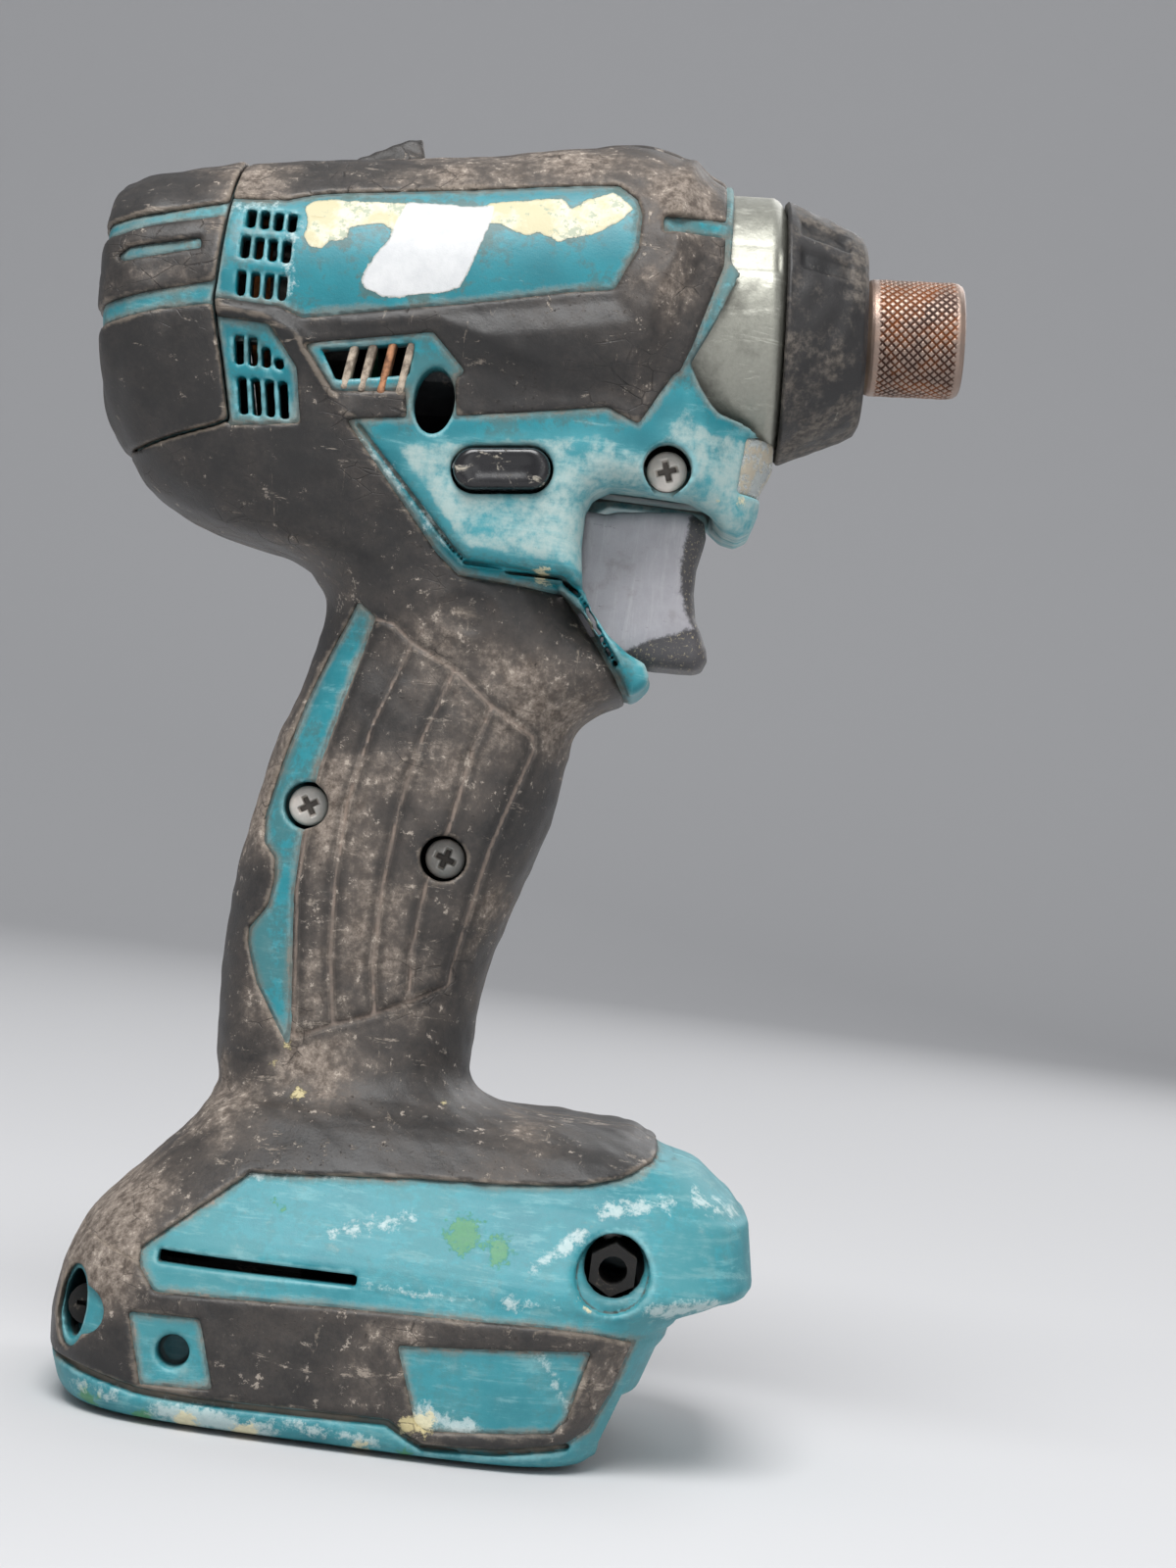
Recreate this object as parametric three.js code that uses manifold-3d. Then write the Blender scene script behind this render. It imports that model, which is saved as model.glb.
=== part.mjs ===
// A cordless impact driver without its battery, standing on its foot.
// Millimetres. +X points to the nose, +Z up, y = 0 is the plane where the two housing halves meet.
// The origin lies under the middle of the whole tool, level with the foot's flat underside.

import * as THREE from "three";
import { mergeVertices } from "three/addons/utils/BufferGeometryUtils.js";
import Module from "manifold-3d";

const wasm = await Module();
wasm.setup();

// ---- Driving dimensions -------------------------------------------------------------------

const GAP = 0.3; // between pieces that touch
const PART_LINE = 0.15; // each half stops this far from the mid-plane
const SKIN = 1.3; // thickness of the elastomer overmould
const PANEL_DROP = 0.5; // bare nylon panels lie this far under the overmould
const WALL = 2.6; // housing wall
const AXIS_HEIGHT = 161; // the spindle axis crosses x = 0 at this height
const NOSE_UP = THREE.MathUtils.degToRad(5); // the spindle axis rises towards the nose
const REACH = 90; // half-length of cutting blocks

const SEAM = -38.2; // the rear cover ends at this x
const COVER_BOTTOM = 138; // and at this z

const MOTOR_BORE = 18.4;
const GEAR_BORE = 20.2;
const CASE_R = 20.2; // hammer case, outside
const CASE_WALL = 2.2;
const NOSE_R = 10.4; // hammer case nose, under the front bumper
const SLEEVE_R = 8.5;
const ANVIL_R = 5.6;
const HEX_FLATS = 6.6; // socket for 6.35 mm bits
const SPINDLE_R = 5.2;

const MODULE = 0.7;
const SUN_TEETH = 9;
const PLANET_TEETH = 21;
const RING_TEETH = SUN_TEETH + 2 * PLANET_TEETH;
const PLANETS = 3;
const PLANET_ORBIT = (MODULE * (SUN_TEETH + PLANET_TEETH)) / 2;
const PRESSURE_ANGLE = THREE.MathUtils.degToRad(20);
const BACKLASH = 0.16;
const GEAR_FRONT = 2;
const GEAR_WIDTH = 6;

const FOOT_HALF_WIDTH = 38.2;
const SLOT_HALF_WIDTH = 26; // battery slot
const SLOT_HEIGHT = 11;
const RAIL_HALF_GAP = 20.5;

// ---- Solids -------------------------------------------------------------------------------

// A closed three.js geometry as a manifold-3d solid.
function solid(geometry) {
  const bare = geometry.index ? geometry.toNonIndexed() : geometry.clone();
  bare.deleteAttribute("normal");
  bare.deleteAttribute("uv");
  const merged = mergeVertices(bare, 1e-4);
  const corners = merged.index.array;
  const faces = [];
  for (let i = 0; i < corners.length; i += 3) {
    const [a, b, c] = corners.subarray(i, i + 3);
    if (a !== b && b !== c && c !== a) faces.push([a, b, c]);
  }
  const make = (triangles) =>
    new wasm.Manifold(
      new wasm.Mesh({
        numProp: 3,
        vertProperties: merged.attributes.position.array,
        triVerts: new Uint32Array(triangles.flat()),
      }),
    );
  const body = make(faces);
  return body.volume() < 0 ? make(faces.map(([a, b, c]) => [a, c, b])) : body;
}

// A manifold-3d solid as a three.js geometry.
function geometryOf(body) {
  const { numProp, vertProperties, triVerts } = body.getMesh();
  const count = vertProperties.length / numProp;
  const points = new Float32Array(count * 3);
  for (let i = 0; i < count; i++) {
    points.set(vertProperties.subarray(i * numProp, i * numProp + 3), i * 3);
  }
  return new THREE.BufferGeometry()
    .setAttribute("position", new THREE.BufferAttribute(points, 3))
    .setIndex(new THREE.BufferAttribute(triVerts, 1));
}

const union = (bodies) => bodies.reduce((sum, body) => sum.add(body));

// A block between two corners.
function block(low, high) {
  const size = high.map((value, i) => value - low[i]);
  const centre = high.map((value, i) => (value + low[i]) / 2);
  return solid(new THREE.BoxGeometry(...size).translate(...centre));
}

// A round bar along y from yLow to yHigh.
function pinY(x, z, r, yLow, yHigh, sides = 12) {
  const bar = new THREE.CylinderGeometry(r, r, yHigh - yLow, sides);
  return solid(bar.translate(x, (yLow + yHigh) / 2, z));
}

// A side-view outline, given as [x, z] points, made solid from -halfWidth to +halfWidth in y.
function slab(outline, halfWidth) {
  const shape = new THREE.Shape(outline.map(([x, z]) => new THREE.Vector2(x, z)));
  const plate = new THREE.ExtrudeGeometry(shape, { depth: 2 * halfWidth, bevelEnabled: false });
  return solid(plate.translate(0, 0, -halfWidth).rotateX(Math.PI / 2));
}

// The same outline right through the tool, grown by growth, or drawn in where growth is negative.
function grownPrism(outline, growth) {
  if (!growth) return slab(outline, REACH);
  const shifted = [];
  for (const along of [-growth, growth]) {
    for (const up of [-growth, growth]) {
      shifted.push(slab(outline.map(([x, z]) => [x + along, z + up]), REACH));
    }
  }
  if (growth > 0) return union(shifted);
  return shifted.reduce((common, body) => common.intersect(body));
}

// Rings of points, one after the other, joined into a closed skin with flat ends.
function loft(rings) {
  const sides = rings[0].length;
  const points = rings.flat();
  const faces = [];
  for (let k = 0; k + 1 < rings.length; k++) {
    for (let i = 0; i < sides; i++) {
      const a = k * sides + i;
      const b = k * sides + ((i + 1) % sides);
      faces.push(a, b, b + sides, a, b + sides, a + sides);
    }
  }
  const last = (rings.length - 1) * sides;
  for (let i = 1; i + 1 < sides; i++) {
    faces.push(0, i + 1, i);
    faces.push(last, last + i, last + i + 1);
  }
  const skin = new THREE.BufferGeometry().setFromPoints(points);
  return skin.setIndex(faces);
}

// A superellipse: x and y at one angle, with both half-widths 1.
function roundedCorner(angle, exponent) {
  const bend = (value) => Math.sign(value) * Math.abs(value) ** (2 / exponent);
  return [bend(Math.cos(angle)), bend(Math.sin(angle))];
}

// A body turned about the spindle's own axis: [u, r] points, u along the axis.
function turned(profile, sides = 20) {
  const points = profile.map(([u, r]) => new THREE.Vector2(r, u));
  return solid(new THREE.LatheGeometry(points, sides).rotateZ(-Math.PI / 2));
}

// A turned ring or tube: the profile closes on itself.
const turnedRing = (profile, sides) => turned([...profile, profile[0]], sides);

// A plain tube from uLow to uHigh.
function tube(uLow, uHigh, inner, outer, sides) {
  const corners = [[uLow, inner], [uLow, outer], [uHigh, outer], [uHigh, inner]];
  return turnedRing(corners.reverse(), sides);
}

// A plain disc or bar from uLow to uHigh.
const bar = (uLow, uHigh, r, sides) =>
  turned([[uHigh, 0], [uHigh, r], [uLow, r], [uLow, 0]], sides);

// A round spring: one closed wire along a helix about the spindle axis.
function coilSpring(uLow, uHigh, coilR, wireR, turns) {
  class Helix extends THREE.Curve {
    getPoint(t, target = new THREE.Vector3()) {
      const angle = 2 * Math.PI * turns * t;
      const u = uLow + wireR + (uHigh - uLow - 2 * wireR) * t;
      return target.set(u, coilR * Math.cos(angle), coilR * Math.sin(angle));
    }
  }
  const section = new THREE.Shape();
  for (let i = 0; i < 5; i++) {
    const angle = (2 * Math.PI * i) / 5;
    const move = i ? "lineTo" : "moveTo";
    section[move](wireR * Math.cos(angle), wireR * Math.sin(angle));
  }
  const steps = Math.round(turns * 9);
  const wire = new THREE.ExtrudeGeometry(section, {
    steps,
    extrudePath: new Helix(),
    bevelEnabled: false,
  });
  return solid(wire);
}

// Moves a geometry made about the spindle's axis to its place in the tool.
const ONTO_AXIS = new THREE.Matrix4()
  .makeTranslation(0, 0, AXIS_HEIGHT)
  .multiply(new THREE.Matrix4().makeRotationY(-NOSE_UP));
const ontoAxis = (body) => solid(geometryOf(body).applyMatrix4(ONTO_AXIS));

// ---- Tool and its nodes -------------------------------------------------------------------

// Shapes are drawn from the middle of the foot, and the whole tool then moves onto its origin.
const FOOT_BEHIND = 5.5;
const standing = new THREE.Group();
const tool = new THREE.Group();
tool.position.x = -FOOT_BEHIND;
standing.add(tool);
const driveLine = new THREE.Group(); // its own +X is the spindle axis
driveLine.rotation.y = -NOSE_UP;
driveLine.position.z = AXIS_HEIGHT;
tool.add(driveLine);

const finish = {
  nylon: { color: 0x2a8f96, roughness: 0.55, metalness: 0 },
  elastomer: { color: 0x35312f, roughness: 0.85, metalness: 0 },
  castAluminium: { color: 0x96958a, roughness: 0.5, metalness: 0.7 },
  bumperRubber: { color: 0x3d3d3f, roughness: 0.8, metalness: 0 },
  rustySteel: { color: 0x7a5546, roughness: 0.6, metalness: 0.6 },
  steel: { color: 0xb8b2aa, roughness: 0.35, metalness: 0.9 },
  darkSteel: { color: 0x5a5a5c, roughness: 0.4, metalness: 0.8 },
  copper: { color: 0xb06a3a, roughness: 0.4, metalness: 0.8 },
  greyPlastic: { color: 0x77757a, roughness: 0.6, metalness: 0 },
  blackPlastic: { color: 0x1c1b1d, roughness: 0.35, metalness: 0 },
  clearPlastic: { color: 0xe6ecee, roughness: 0.15, metalness: 0 },
  circuitBoard: { color: 0x25563a, roughness: 0.5, metalness: 0 },
  brass: { color: 0xb59a58, roughness: 0.35, metalness: 0.9 },
};

function addNode(name, body, material, parent = tool) {
  const node = new THREE.Mesh(
    geometryOf(body),
    new THREE.MeshStandardMaterial({ ...material, flatShading: true }),
  );
  node.name = name;
  parent.add(node);
  return node;
}

// ---- Outer form of the housing ------------------------------------------------------------

const RING_SIDES = 16;

// Sections of the motor barrel across the spindle axis: u, top, bottom, half-width.
const BARREL = [
  [-57.4, 12.6, -13.6, 17.6],
  [-55.2, 16.2, -18, 21.6],
  [-44, 19.8, -23, 25.2],
  [-26, 22.3, -25, 26.2],
  [-4, 23.2, -24, 26],
  [14, 25, -23.4, 25.6],
  [23, 25.1, -23, 25.2],
  [31.6, 22, -21.6, 22.6],
];

// Sections of the handle, from under the motor down into the foot: z, rear x, front x, half-width.
const HANDLE = [
  [150, -53.4, 15, 24.6],
  [140, -53.4, 16, 24.4],
  [133.6, -50.4, 17.4, 22.8],
  [127.4, -44.2, 18.6, 20.4],
  [123.8, -35.5, 18.8, 19.2],
  [121.6, -25, 19, 18.8],
  [117, -19.8, 19.2, 18.4],
  [112.8, -19.3, 27.6, 17.4],
  [110.4, -19.8, 29.6, 17],
  [107.4, -20.4, 26, 17],
  [102.6, -21.8, 19.8, 17.3],
  [89, -25.2, 18.2, 17.6],
  [72, -27.4, 13.4, 17],
  [57, -27.2, 11, 17],
  [48.4, -26.4, 13, 18.8],
  [44.2, -25.6, 21, 21.4],
  [38, -27, 32, 25],
];

// Sections of the battery foot: z, rear x, front x, half-width.
const FOOT = [
  [45.2, -22, 36.6, 18],
  [43.4, -25.4, 44, 22],
  [37.6, -29.4, 53, 27.8],
  [27, -39.8, 57, 36],
  [21.4, -42, 49, FOOT_HALF_WIDTH],
  [12, -43.6, 42, FOOT_HALF_WIDTH],
  [2.4, -41.4, 38.9, 37.8],
  [0, -40.2, 37.8, 36.8],
];

// Side view of the trigger housing, round the lamp nose and behind the trigger.
const TRIGGER_HOUSING = [
  [-17, 152], [-17, 140.8], [-3, 125], [0.4, 122.2], [15.4, 121.8], [18.6, 122.4], [17.8, 130],
  [18.6, 135.4], [21, 137.2], [34.4, 139], [38, 137.4], [40.2, 134.2], [42, 136], [42.6, 140],
  [44, 143.4], [43.7, 147.2], [42.3, 149.8], [36, 156],
];

function barrelForm(inset) {
  const rings = BARREL.map(([u, top, bottom, halfWidth], k) => {
    const end = k === 0 ? u + inset : u;
    const centre = (top + bottom) / 2;
    const height = (top - bottom) / 2 - inset;
    const points = [];
    for (let i = 0; i < RING_SIDES; i++) {
      const [across, up] = roundedCorner((2 * Math.PI * i) / RING_SIDES, 2.2);
      const point = new THREE.Vector3(end, (halfWidth - inset) * across, centre + height * up);
      points.push(point.applyMatrix4(ONTO_AXIS));
    }
    return points;
  });
  return solid(loft(rings));
}

function columnForm(sections, inset, exponent, floor = -Infinity) {
  const kept = sections.filter(([z]) => z >= floor);
  const rings = kept.map(([z, rear, front, halfWidth], k) => {
    const level = k === 0 ? z - inset : z;
    const centre = (rear + front) / 2;
    const length = (front - rear) / 2 - inset;
    const points = [];
    for (let i = 0; i < RING_SIDES; i++) {
      const [along, across] = roundedCorner(-(2 * Math.PI * i) / RING_SIDES, exponent);
      points.push(
        new THREE.Vector3(centre + length * along, (halfWidth - inset) * across, level),
      );
    }
    return points;
  });
  return solid(loft(rings));
}

// The trigger housing narrows towards the lamp, as [x, half-width] in plan.
const TRIGGER_HOUSING_PLAN = [[-20, 22.4], [26, 22.4], [34, 18.6], [40, 13], [46, 10]];

function triggerHousingForm(inset) {
  const plan = TRIGGER_HOUSING_PLAN.map(([x, halfWidth]) => [x, halfWidth - inset]);
  const mirrored = plan.map(([x, halfWidth]) => [x, -halfWidth]).reverse();
  const shape = new THREE.Shape([...plan, ...mirrored].map(([x, y]) => new THREE.Vector2(x, y)));
  const column = new THREE.ExtrudeGeometry(shape, { depth: 200, bevelEnabled: false });
  return solid(column).intersect(grownPrism(TRIGGER_HOUSING, -inset));
}

const FOOT_ROOF = 14; // lowest level of the foot's inner room

function outerForm(inset) {
  return union([
    barrelForm(inset),
    columnForm(HANDLE, inset, 2.5),
    columnForm(FOOT, inset, 4.5),
    triggerHousingForm(inset),
  ]);
}

// Region outlines in side view.
const LABEL_PANEL = [
  [-28.7, 171.1], [-24.3, 172.6], [-5.7, 175.6], [14.6, 179], [18.6, 177.2], [19.6, 171.4],
  [17.1, 163.9], [5.7, 161.4], [-4.2, 159], [-19.7, 155.6], [-26.4, 154], [-29.6, 156.2],
];
const TRIGGER_PANEL = [
  [-17.1, 140.4], [-2.9, 124.7], [0.5, 122.1], [15.4, 121.7], [18.1, 119.1], [25, 110],
  [26.9, 107], [32, 106], [50, 130], [50, 152], [31, 154.5], [27, 153.3], [23.1, 145.4],
  [18.4, 147.3], [10.5, 145.7],
];
const FOOT_SHOULDER = [
  [45, 43], [37, 42], [28.8, 38.9], [5.3, 36.7], [-16.9, 34.3], [-26, 27.5], [-50, 27.5], [-50, 21],
  [39, 21], [60, 18], [60, 43],
];
const FOOT_FLANGE = [[-50, -5], [60, -5], [38.5, 4.8], [22, 2.8], [10, 3.6], [7, 5.4], [-50, 5.4]];
const FRONT_LIP = [[28.5, 200], [29.5, 169.6], [24.5, 154], [50, 154], [50, 200]];

const panels = (growth) =>
  union(
    [LABEL_PANEL, TRIGGER_PANEL, FOOT_SHOULDER, FOOT_FLANGE, FRONT_LIP].map(
      (outline) => grownPrism(outline, growth),
    ),
  );

const half = {
  right: block([-REACH, -REACH, -10], [REACH, -PART_LINE, 210]),
  left: block([-REACH, PART_LINE, -10], [REACH, REACH, 210]),
};

// The rear cover takes everything behind the seam and above its lower edge.
const coverRoom = (growth) =>
  slab(
    [
      [SEAM + growth, 200], [SEAM + growth, 150], [-35.5 + growth, COVER_BOTTOM + 6 - growth],
      [-36 + growth, COVER_BOTTOM - growth], [-48, 134 - growth], [-REACH, 132 - growth],
      [-REACH, 200],
    ],
    REACH,
  );

// ---- Rooms inside the housing -------------------------------------------------------------

const TRIGGER_HALF_WIDTH = 8.2;
const motorRoom = ontoAxis(bar(-43, -11.5, MOTOR_BORE, 24));
const gearRoom = ontoAxis(bar(-12, 13, GEAR_BORE, 24));
const caseRoom = ontoAxis(bar(12, 50, CASE_R + GAP, 24));
const handleRoom = columnForm(HANDLE, SKIN + WALL, 2.5)
  .intersect(block([-REACH, -REACH, 40], [REACH, REACH, 134]));
const footRoom = columnForm(FOOT, SKIN + WALL, 4.5, FOOT_ROOF - 8)
  .intersect(block([-REACH, -REACH, FOOT_ROOF], [REACH, REACH, 41]));
const noseRoom = block([20, -9.6, 138.6], [40.6, 9.6, 143.8]);
const triggerPocket = block([-6, -TRIGGER_HALF_WIDTH - 0.6, 112.4], [60, 8.8, 138]);
const batterySlot = block([-33, -SLOT_HALF_WIDTH, -5], [60, SLOT_HALF_WIDTH, SLOT_HEIGHT]);
const rails = [-1, 1].map((side) => {
  const inner = side * RAIL_HALF_GAP;
  const outer = side * (SLOT_HALF_WIDTH + 1);
  return block([-33.5, Math.min(inner, outer), 1.5], [36, Math.max(inner, outer), 4.6]);
});
const contactRoom = block([-30.6, -12.6, 6], [-8, 12.6, 21]);
const lampHole = block([39, -6.4, 139.2], [50, 6.4, 144]);

// The reversing lever is a slot-shaped bar right through the housing, in line with the handle's top.
const LEVER = { x: 4.8, z: 136.9, r: 3, halfLength: 3.85, tilt: 0.13, halfWidth: 24.4 };
function leverForm(growth, halfWidth) {
  const outline = [];
  for (const end of [1, -1]) {
    for (let i = 0; i <= 6; i++) {
      const angle = (Math.PI * (i - 3)) / 6;
      const along = end * (LEVER.halfLength + (LEVER.r + growth) * Math.cos(angle));
      const up = end * (LEVER.r + growth) * Math.sin(angle);
      outline.push([LEVER.x + along - LEVER.tilt * up, LEVER.z + up + LEVER.tilt * along]);
    }
  }
  return slab(outline, halfWidth);
}
const leverRoom = leverForm(GAP, REACH);

// ---- Screws and their bosses --------------------------------------------------------------

const SCREW_HEAD_R = 2.9;
const SCREW_R = 1.6;
const SCREWS = {
  trigger_screw: { x: 27.9, z: 140.4, headY: -16.4 },
  grip_front_screw: { x: 3.5, z: 81.5, headY: -10.5 },
  grip_rear_screw: { x: -16.9, z: 86.5, headY: -11.5 },
  foot_screw: { x: -36.6, z: 13.9, headY: -26 },
};
const SCREW_END = 7.5;

function screwHole({ x, z, headY }) {
  const recess = pinY(x, z, SCREW_HEAD_R + 0.8, -REACH, headY + 2.4);
  return recess.add(pinY(x, z, SCREW_R + GAP, -REACH, SCREW_END + 1));
}

const bosses = union(
  Object.values(SCREWS).map(({ x, z, headY }) =>
    pinY(x, z, 4.8, headY - 4, SCREW_END + 4),
  ),
);
const screwHoles = union(Object.values(SCREWS).map(screwHole));

// Two screws go through the rear cover, along the spindle axis, into the halves.
const COVER_SCREW = { y: 19.4, v: -6.3, seat: -44.6 };
const coverScrewBar = (side, r, uLow, uHigh) =>
  solid(geometryOf(bar(uLow, uHigh, r, 10)).translate(0, side * COVER_SCREW.y, COVER_SCREW.v));
const coverScrewHoles = union(
  [-1, 1].map((side) =>
    ontoAxis(
      coverScrewBar(side, SCREW_R + GAP, -60, -29)
        .add(coverScrewBar(side, SCREW_HEAD_R + 0.5, -80, COVER_SCREW.seat)),
    ),
  ),
);

// Belt-hook screws go into a metal insert on either side of the foot.
const HOOK = { x: 34.8, z: 28.6 };
const hookHole = pinY(HOOK.x, HOOK.z, 3.9, -REACH, REACH)
  .subtract(pinY(HOOK.x, HOOK.z, 5, -20, 20));
const hookBosses = pinY(HOOK.x, HOOK.z, 6.6, -34, 34);

// The belt hook's tongue slot on either side of the foot.
const hookSlots = [-1, 1].map((side) => {
  const centre = side * FOOT_HALF_WIDTH;
  return block([-26.6, centre - 3, 22.2], [0.2, centre + 3, 23.9]);
});

// Cooling slots in rows beside the motor.
const ventSlots = [];
for (const rowZ of [167.6, 163.2, 158]) {
  for (let column = 0; column < 3; column++) {
    const x = -34.4 + 2.2 * column;
    ventSlots.push(block([x, -REACH, rowZ - 1.2], [x + 0.9, REACH, rowZ + 1.2]));
  }
}

// ---- Housing halves and overmoulds --------------------------------------------------------

const whole = outerForm(0);
const underSkin = outerForm(SKIN);
const nylonForm = outerForm(SKIN + GAP);
const rooms = union([
  motorRoom, gearRoom, caseRoom, handleRoom, footRoom, noseRoom, triggerPocket, batterySlot,
  contactRoom, lampHole, leverRoom,
]);
const openings = union([screwHoles, hookHole, ...hookSlots, ...ventSlots]);
const shell = nylonForm
  .subtract(rooms)
  .add(bosses.intersect(nylonForm).subtract(union([gearRoom, caseRoom, batterySlot])))
  .add(hookBosses.intersect(nylonForm).subtract(batterySlot))
  .add(union(rails).intersect(nylonForm))
  .subtract(openings)
  .subtract(triggerPocket)
  .subtract(coverScrewHoles)
  .subtract(coverRoom(GAP));

const coat = whole
  .subtract(underSkin)
  .subtract(panels(GAP))
  .subtract(union([rooms, openings, coverRoom(GAP)]));
const aboveFoot = block([-REACH, -REACH, 30], [REACH, REACH, 200]);
const footZone = block([-REACH, -REACH, -10], [REACH, REACH, 29]);
// The halves' feet are nodes of their own, split off where the rubber hides the joint.
const FOOT_TOP = 46.5;
const nylonFoot = block([-REACH, -REACH, -10], [REACH, REACH, FOOT_TOP - GAP / 2]);
const nylonGrip = block([-REACH, -REACH, FOOT_TOP + GAP / 2], [REACH, REACH, 200]);

// A boolean can leave slivers beside the body that is wanted: the largest piece is kept.
function largest(body) {
  const pieces = body.decompose();
  return pieces.reduce((best, piece) => (piece.volume() > best.volume() ? piece : best));
}

for (const side of ["right", "left"]) {
  const shellHalf = shell.intersect(half[side]);
  addNode(`housing_${side}`, largest(shellHalf.intersect(nylonGrip)), finish.nylon);
  addNode(`foot_${side}`, largest(shellHalf.intersect(nylonFoot)), finish.nylon);
  addNode(
    `overmould_${side}`,
    largest(coat.intersect(half[side]).intersect(aboveFoot)),
    finish.elastomer,
  );
  addNode(
    `foot_band_${side}`,
    largest(coat.intersect(half[side]).intersect(footZone)),
    finish.elastomer,
  );
}

// ---- Rear cover ---------------------------------------------------------------------------

const PAD_OUTLINE = [
  [-70, 166], [-52, 165.6], [-41, 166.4], [-40.6, 156.8], [-52, 151.2], [-70, 150],
];
const rearForm = outerForm(PANEL_DROP)
  .subtract(grownPrism(PAD_OUTLINE, 0).subtract(outerForm(SKIN + GAP)))
  .intersect(coverRoom(0));
const FAN_ROOM_R = 16.4;
const coverBore = ontoAxis(
  turned([[-36, 0], [-36, FAN_ROOM_R], [-46, FAN_ROOM_R], [-52.5, 12], [-52.5, 0]], 24),
);
addNode(
  "rear_cover",
  largest(rearForm.subtract(coverBore).subtract(coverScrewHoles)),
  finish.nylon,
);
addNode(
  "rear_cover_pad",
  largest(
    whole
      .subtract(underSkin)
      .intersect(grownPrism(PAD_OUTLINE, -GAP))
      .intersect(coverRoom(0))
      .subtract(coverScrewHoles),
  ),
  finish.elastomer,
);

// ---- Screws -------------------------------------------------------------------------------

// A pan-head screw along +y with a cross recess in its head.
function screwAlongY({ x, z, headY }) {
  const head = pinY(x, z, SCREW_HEAD_R, headY, headY + 2.2, 16);
  const shank = pinY(x, z, SCREW_R, headY + 1, SCREW_END, 10);
  const recess = block([x - 1.7, headY - 1, z - 0.35], [x + 1.7, headY + 1.4, z + 0.35])
    .add(block([x - 0.35, headY - 1, z - 1.7], [x + 0.35, headY + 1.4, z + 1.7]));
  return head.add(shank).subtract(recess);
}

for (const [name, place] of Object.entries(SCREWS)) {
  addNode(name, screwAlongY(place), finish.steel);
}

[-1, 1].forEach((side, i) => {
  const seat = COVER_SCREW.seat;
  const body = coverScrewBar(side, SCREW_HEAD_R, seat - 2.4, seat - GAP)
    .add(coverScrewBar(side, SCREW_R, seat - 1, -30));
  addNode(`rear_cover_screw_${i + 1}`, body, finish.steel, driveLine);
});

for (const [name, side] of [["hook_insert_right", -1], ["hook_insert_left", 1]]) {
  const inner = side * 20.3;
  const outer = side * 31;
  const yRange = [Math.min(inner, outer), Math.max(inner, outer)];
  addNode(
    name,
    pinY(HOOK.x, HOOK.z, 3.6, ...yRange, 6).subtract(pinY(HOOK.x, HOOK.z, 2, -REACH, REACH, 16)),
    finish.brass,
  );
}

// ---- Hammer case, front bumper and quick-release sleeve -----------------------------------

addNode(
  "hammer_case",
  turnedRing(
    [
      [13.4, CASE_R - CASE_WALL], [13.4, CASE_R], [40.4, CASE_R - 0.6], [41.6, 18.6], [43.4, 14],
      [43.4, NOSE_R], [53.4, NOSE_R], [53.4, 7.6], [42.3, 7.6], [41.4, 9.9], [41.4, 14.4],
      [39, CASE_R - CASE_WALL - 0.4],
    ].reverse(),
    20,
  ),
  finish.castAluminium,
  driveLine,
);
addNode(
  "front_bumper",
  turnedRing(
    [
      [42.2, 18.2], [42, 19.2], [46.5, 17.6], [51.4, 15.6], [53.6, 14.2], [54, 12.8],
      [54, NOSE_R + GAP], [43.8, NOSE_R + GAP], [43.8, 14.1],
    ].reverse(),
    24,
  ),
  finish.bumperRubber,
  driveLine,
);

const knurled = turnedRing(
  [
    [54.3, 6], [54.3, 7.8], [55.6, SLEEVE_R], [66.8, SLEEVE_R], [68.4, 7.9], [68.6, 7.5],
    [60.6, 7.5], [60.6, 6], [57.6, 6], [57.6, 7.4], [54.9, 7.4], [54.9, 6],
  ].reverse(),
  24,
);
addNode("chuck_sleeve", knurled, finish.rustySteel, driveLine);
addNode("sleeve_spring", coilSpring(61, 66.2, 6.55, 0.4, 3.5), finish.steel, driveLine);
addNode(
  "sleeve_retaining_ring",
  tube(66.5, 67.4, 5.2, 7.1, 16),
  finish.darkSteel,
  driveLine,
);

// ---- Anvil, bit balls and bush ------------------------------------------------------------

const BALL_U = 59;
const ballHole = (angle) =>
  solid(
    new THREE.CylinderGeometry(1.75, 1.75, 8, 8)
      .translate(0, 6, 0)
      .rotateX(angle)
      .translate(BALL_U, 0, 0),
  );
const hexSocket = solid(
  new THREE.CylinderGeometry(HEX_FLATS / Math.sqrt(3), HEX_FLATS / Math.sqrt(3), 30, 6)
    .rotateZ(-Math.PI / 2)
    .translate(61, 0, 0),
);
const wing = (angle) =>
  solid(new THREE.BoxGeometry(4.6, 9, 9).translate(38.6, 9, 0).rotateX(angle))
    .intersect(bar(30, 45, 14, 16));
const anvilBody = turned([
  [67.9, 0], [67.9, 5.2], [67.6, ANVIL_R - 0.2], [67.6, 4.9], [66.3, 4.9], [66.3, ANVIL_R],
  [53.6, ANVIL_R], [53, 6.6], [42, 6.6], [41, 9.6], [36.4, 9.6], [36.4, 0],
], 20);
addNode(
  "anvil",
  anvilBody
    .add(wing(0))
    .add(wing(Math.PI))
    .subtract(hexSocket)
    .subtract(ballHole(0))
    .subtract(ballHole(Math.PI)),
  finish.darkSteel,
  driveLine,
);
[0, Math.PI].forEach((angle, i) => {
  const ball = new THREE.SphereGeometry(1.45, 8, 6).translate(0, 4.4, 0);
  const placed = ball.rotateX(angle).translate(BALL_U, 0, 0);
  addNode(`bit_ball_${i + 1}`, solid(placed), finish.steel, driveLine);
});
addNode("anvil_bush", tube(43, 53, 6.9, 7.3, 20), finish.brass, driveLine);

// ---- Hammer, its spring and balls ---------------------------------------------------------

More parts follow.
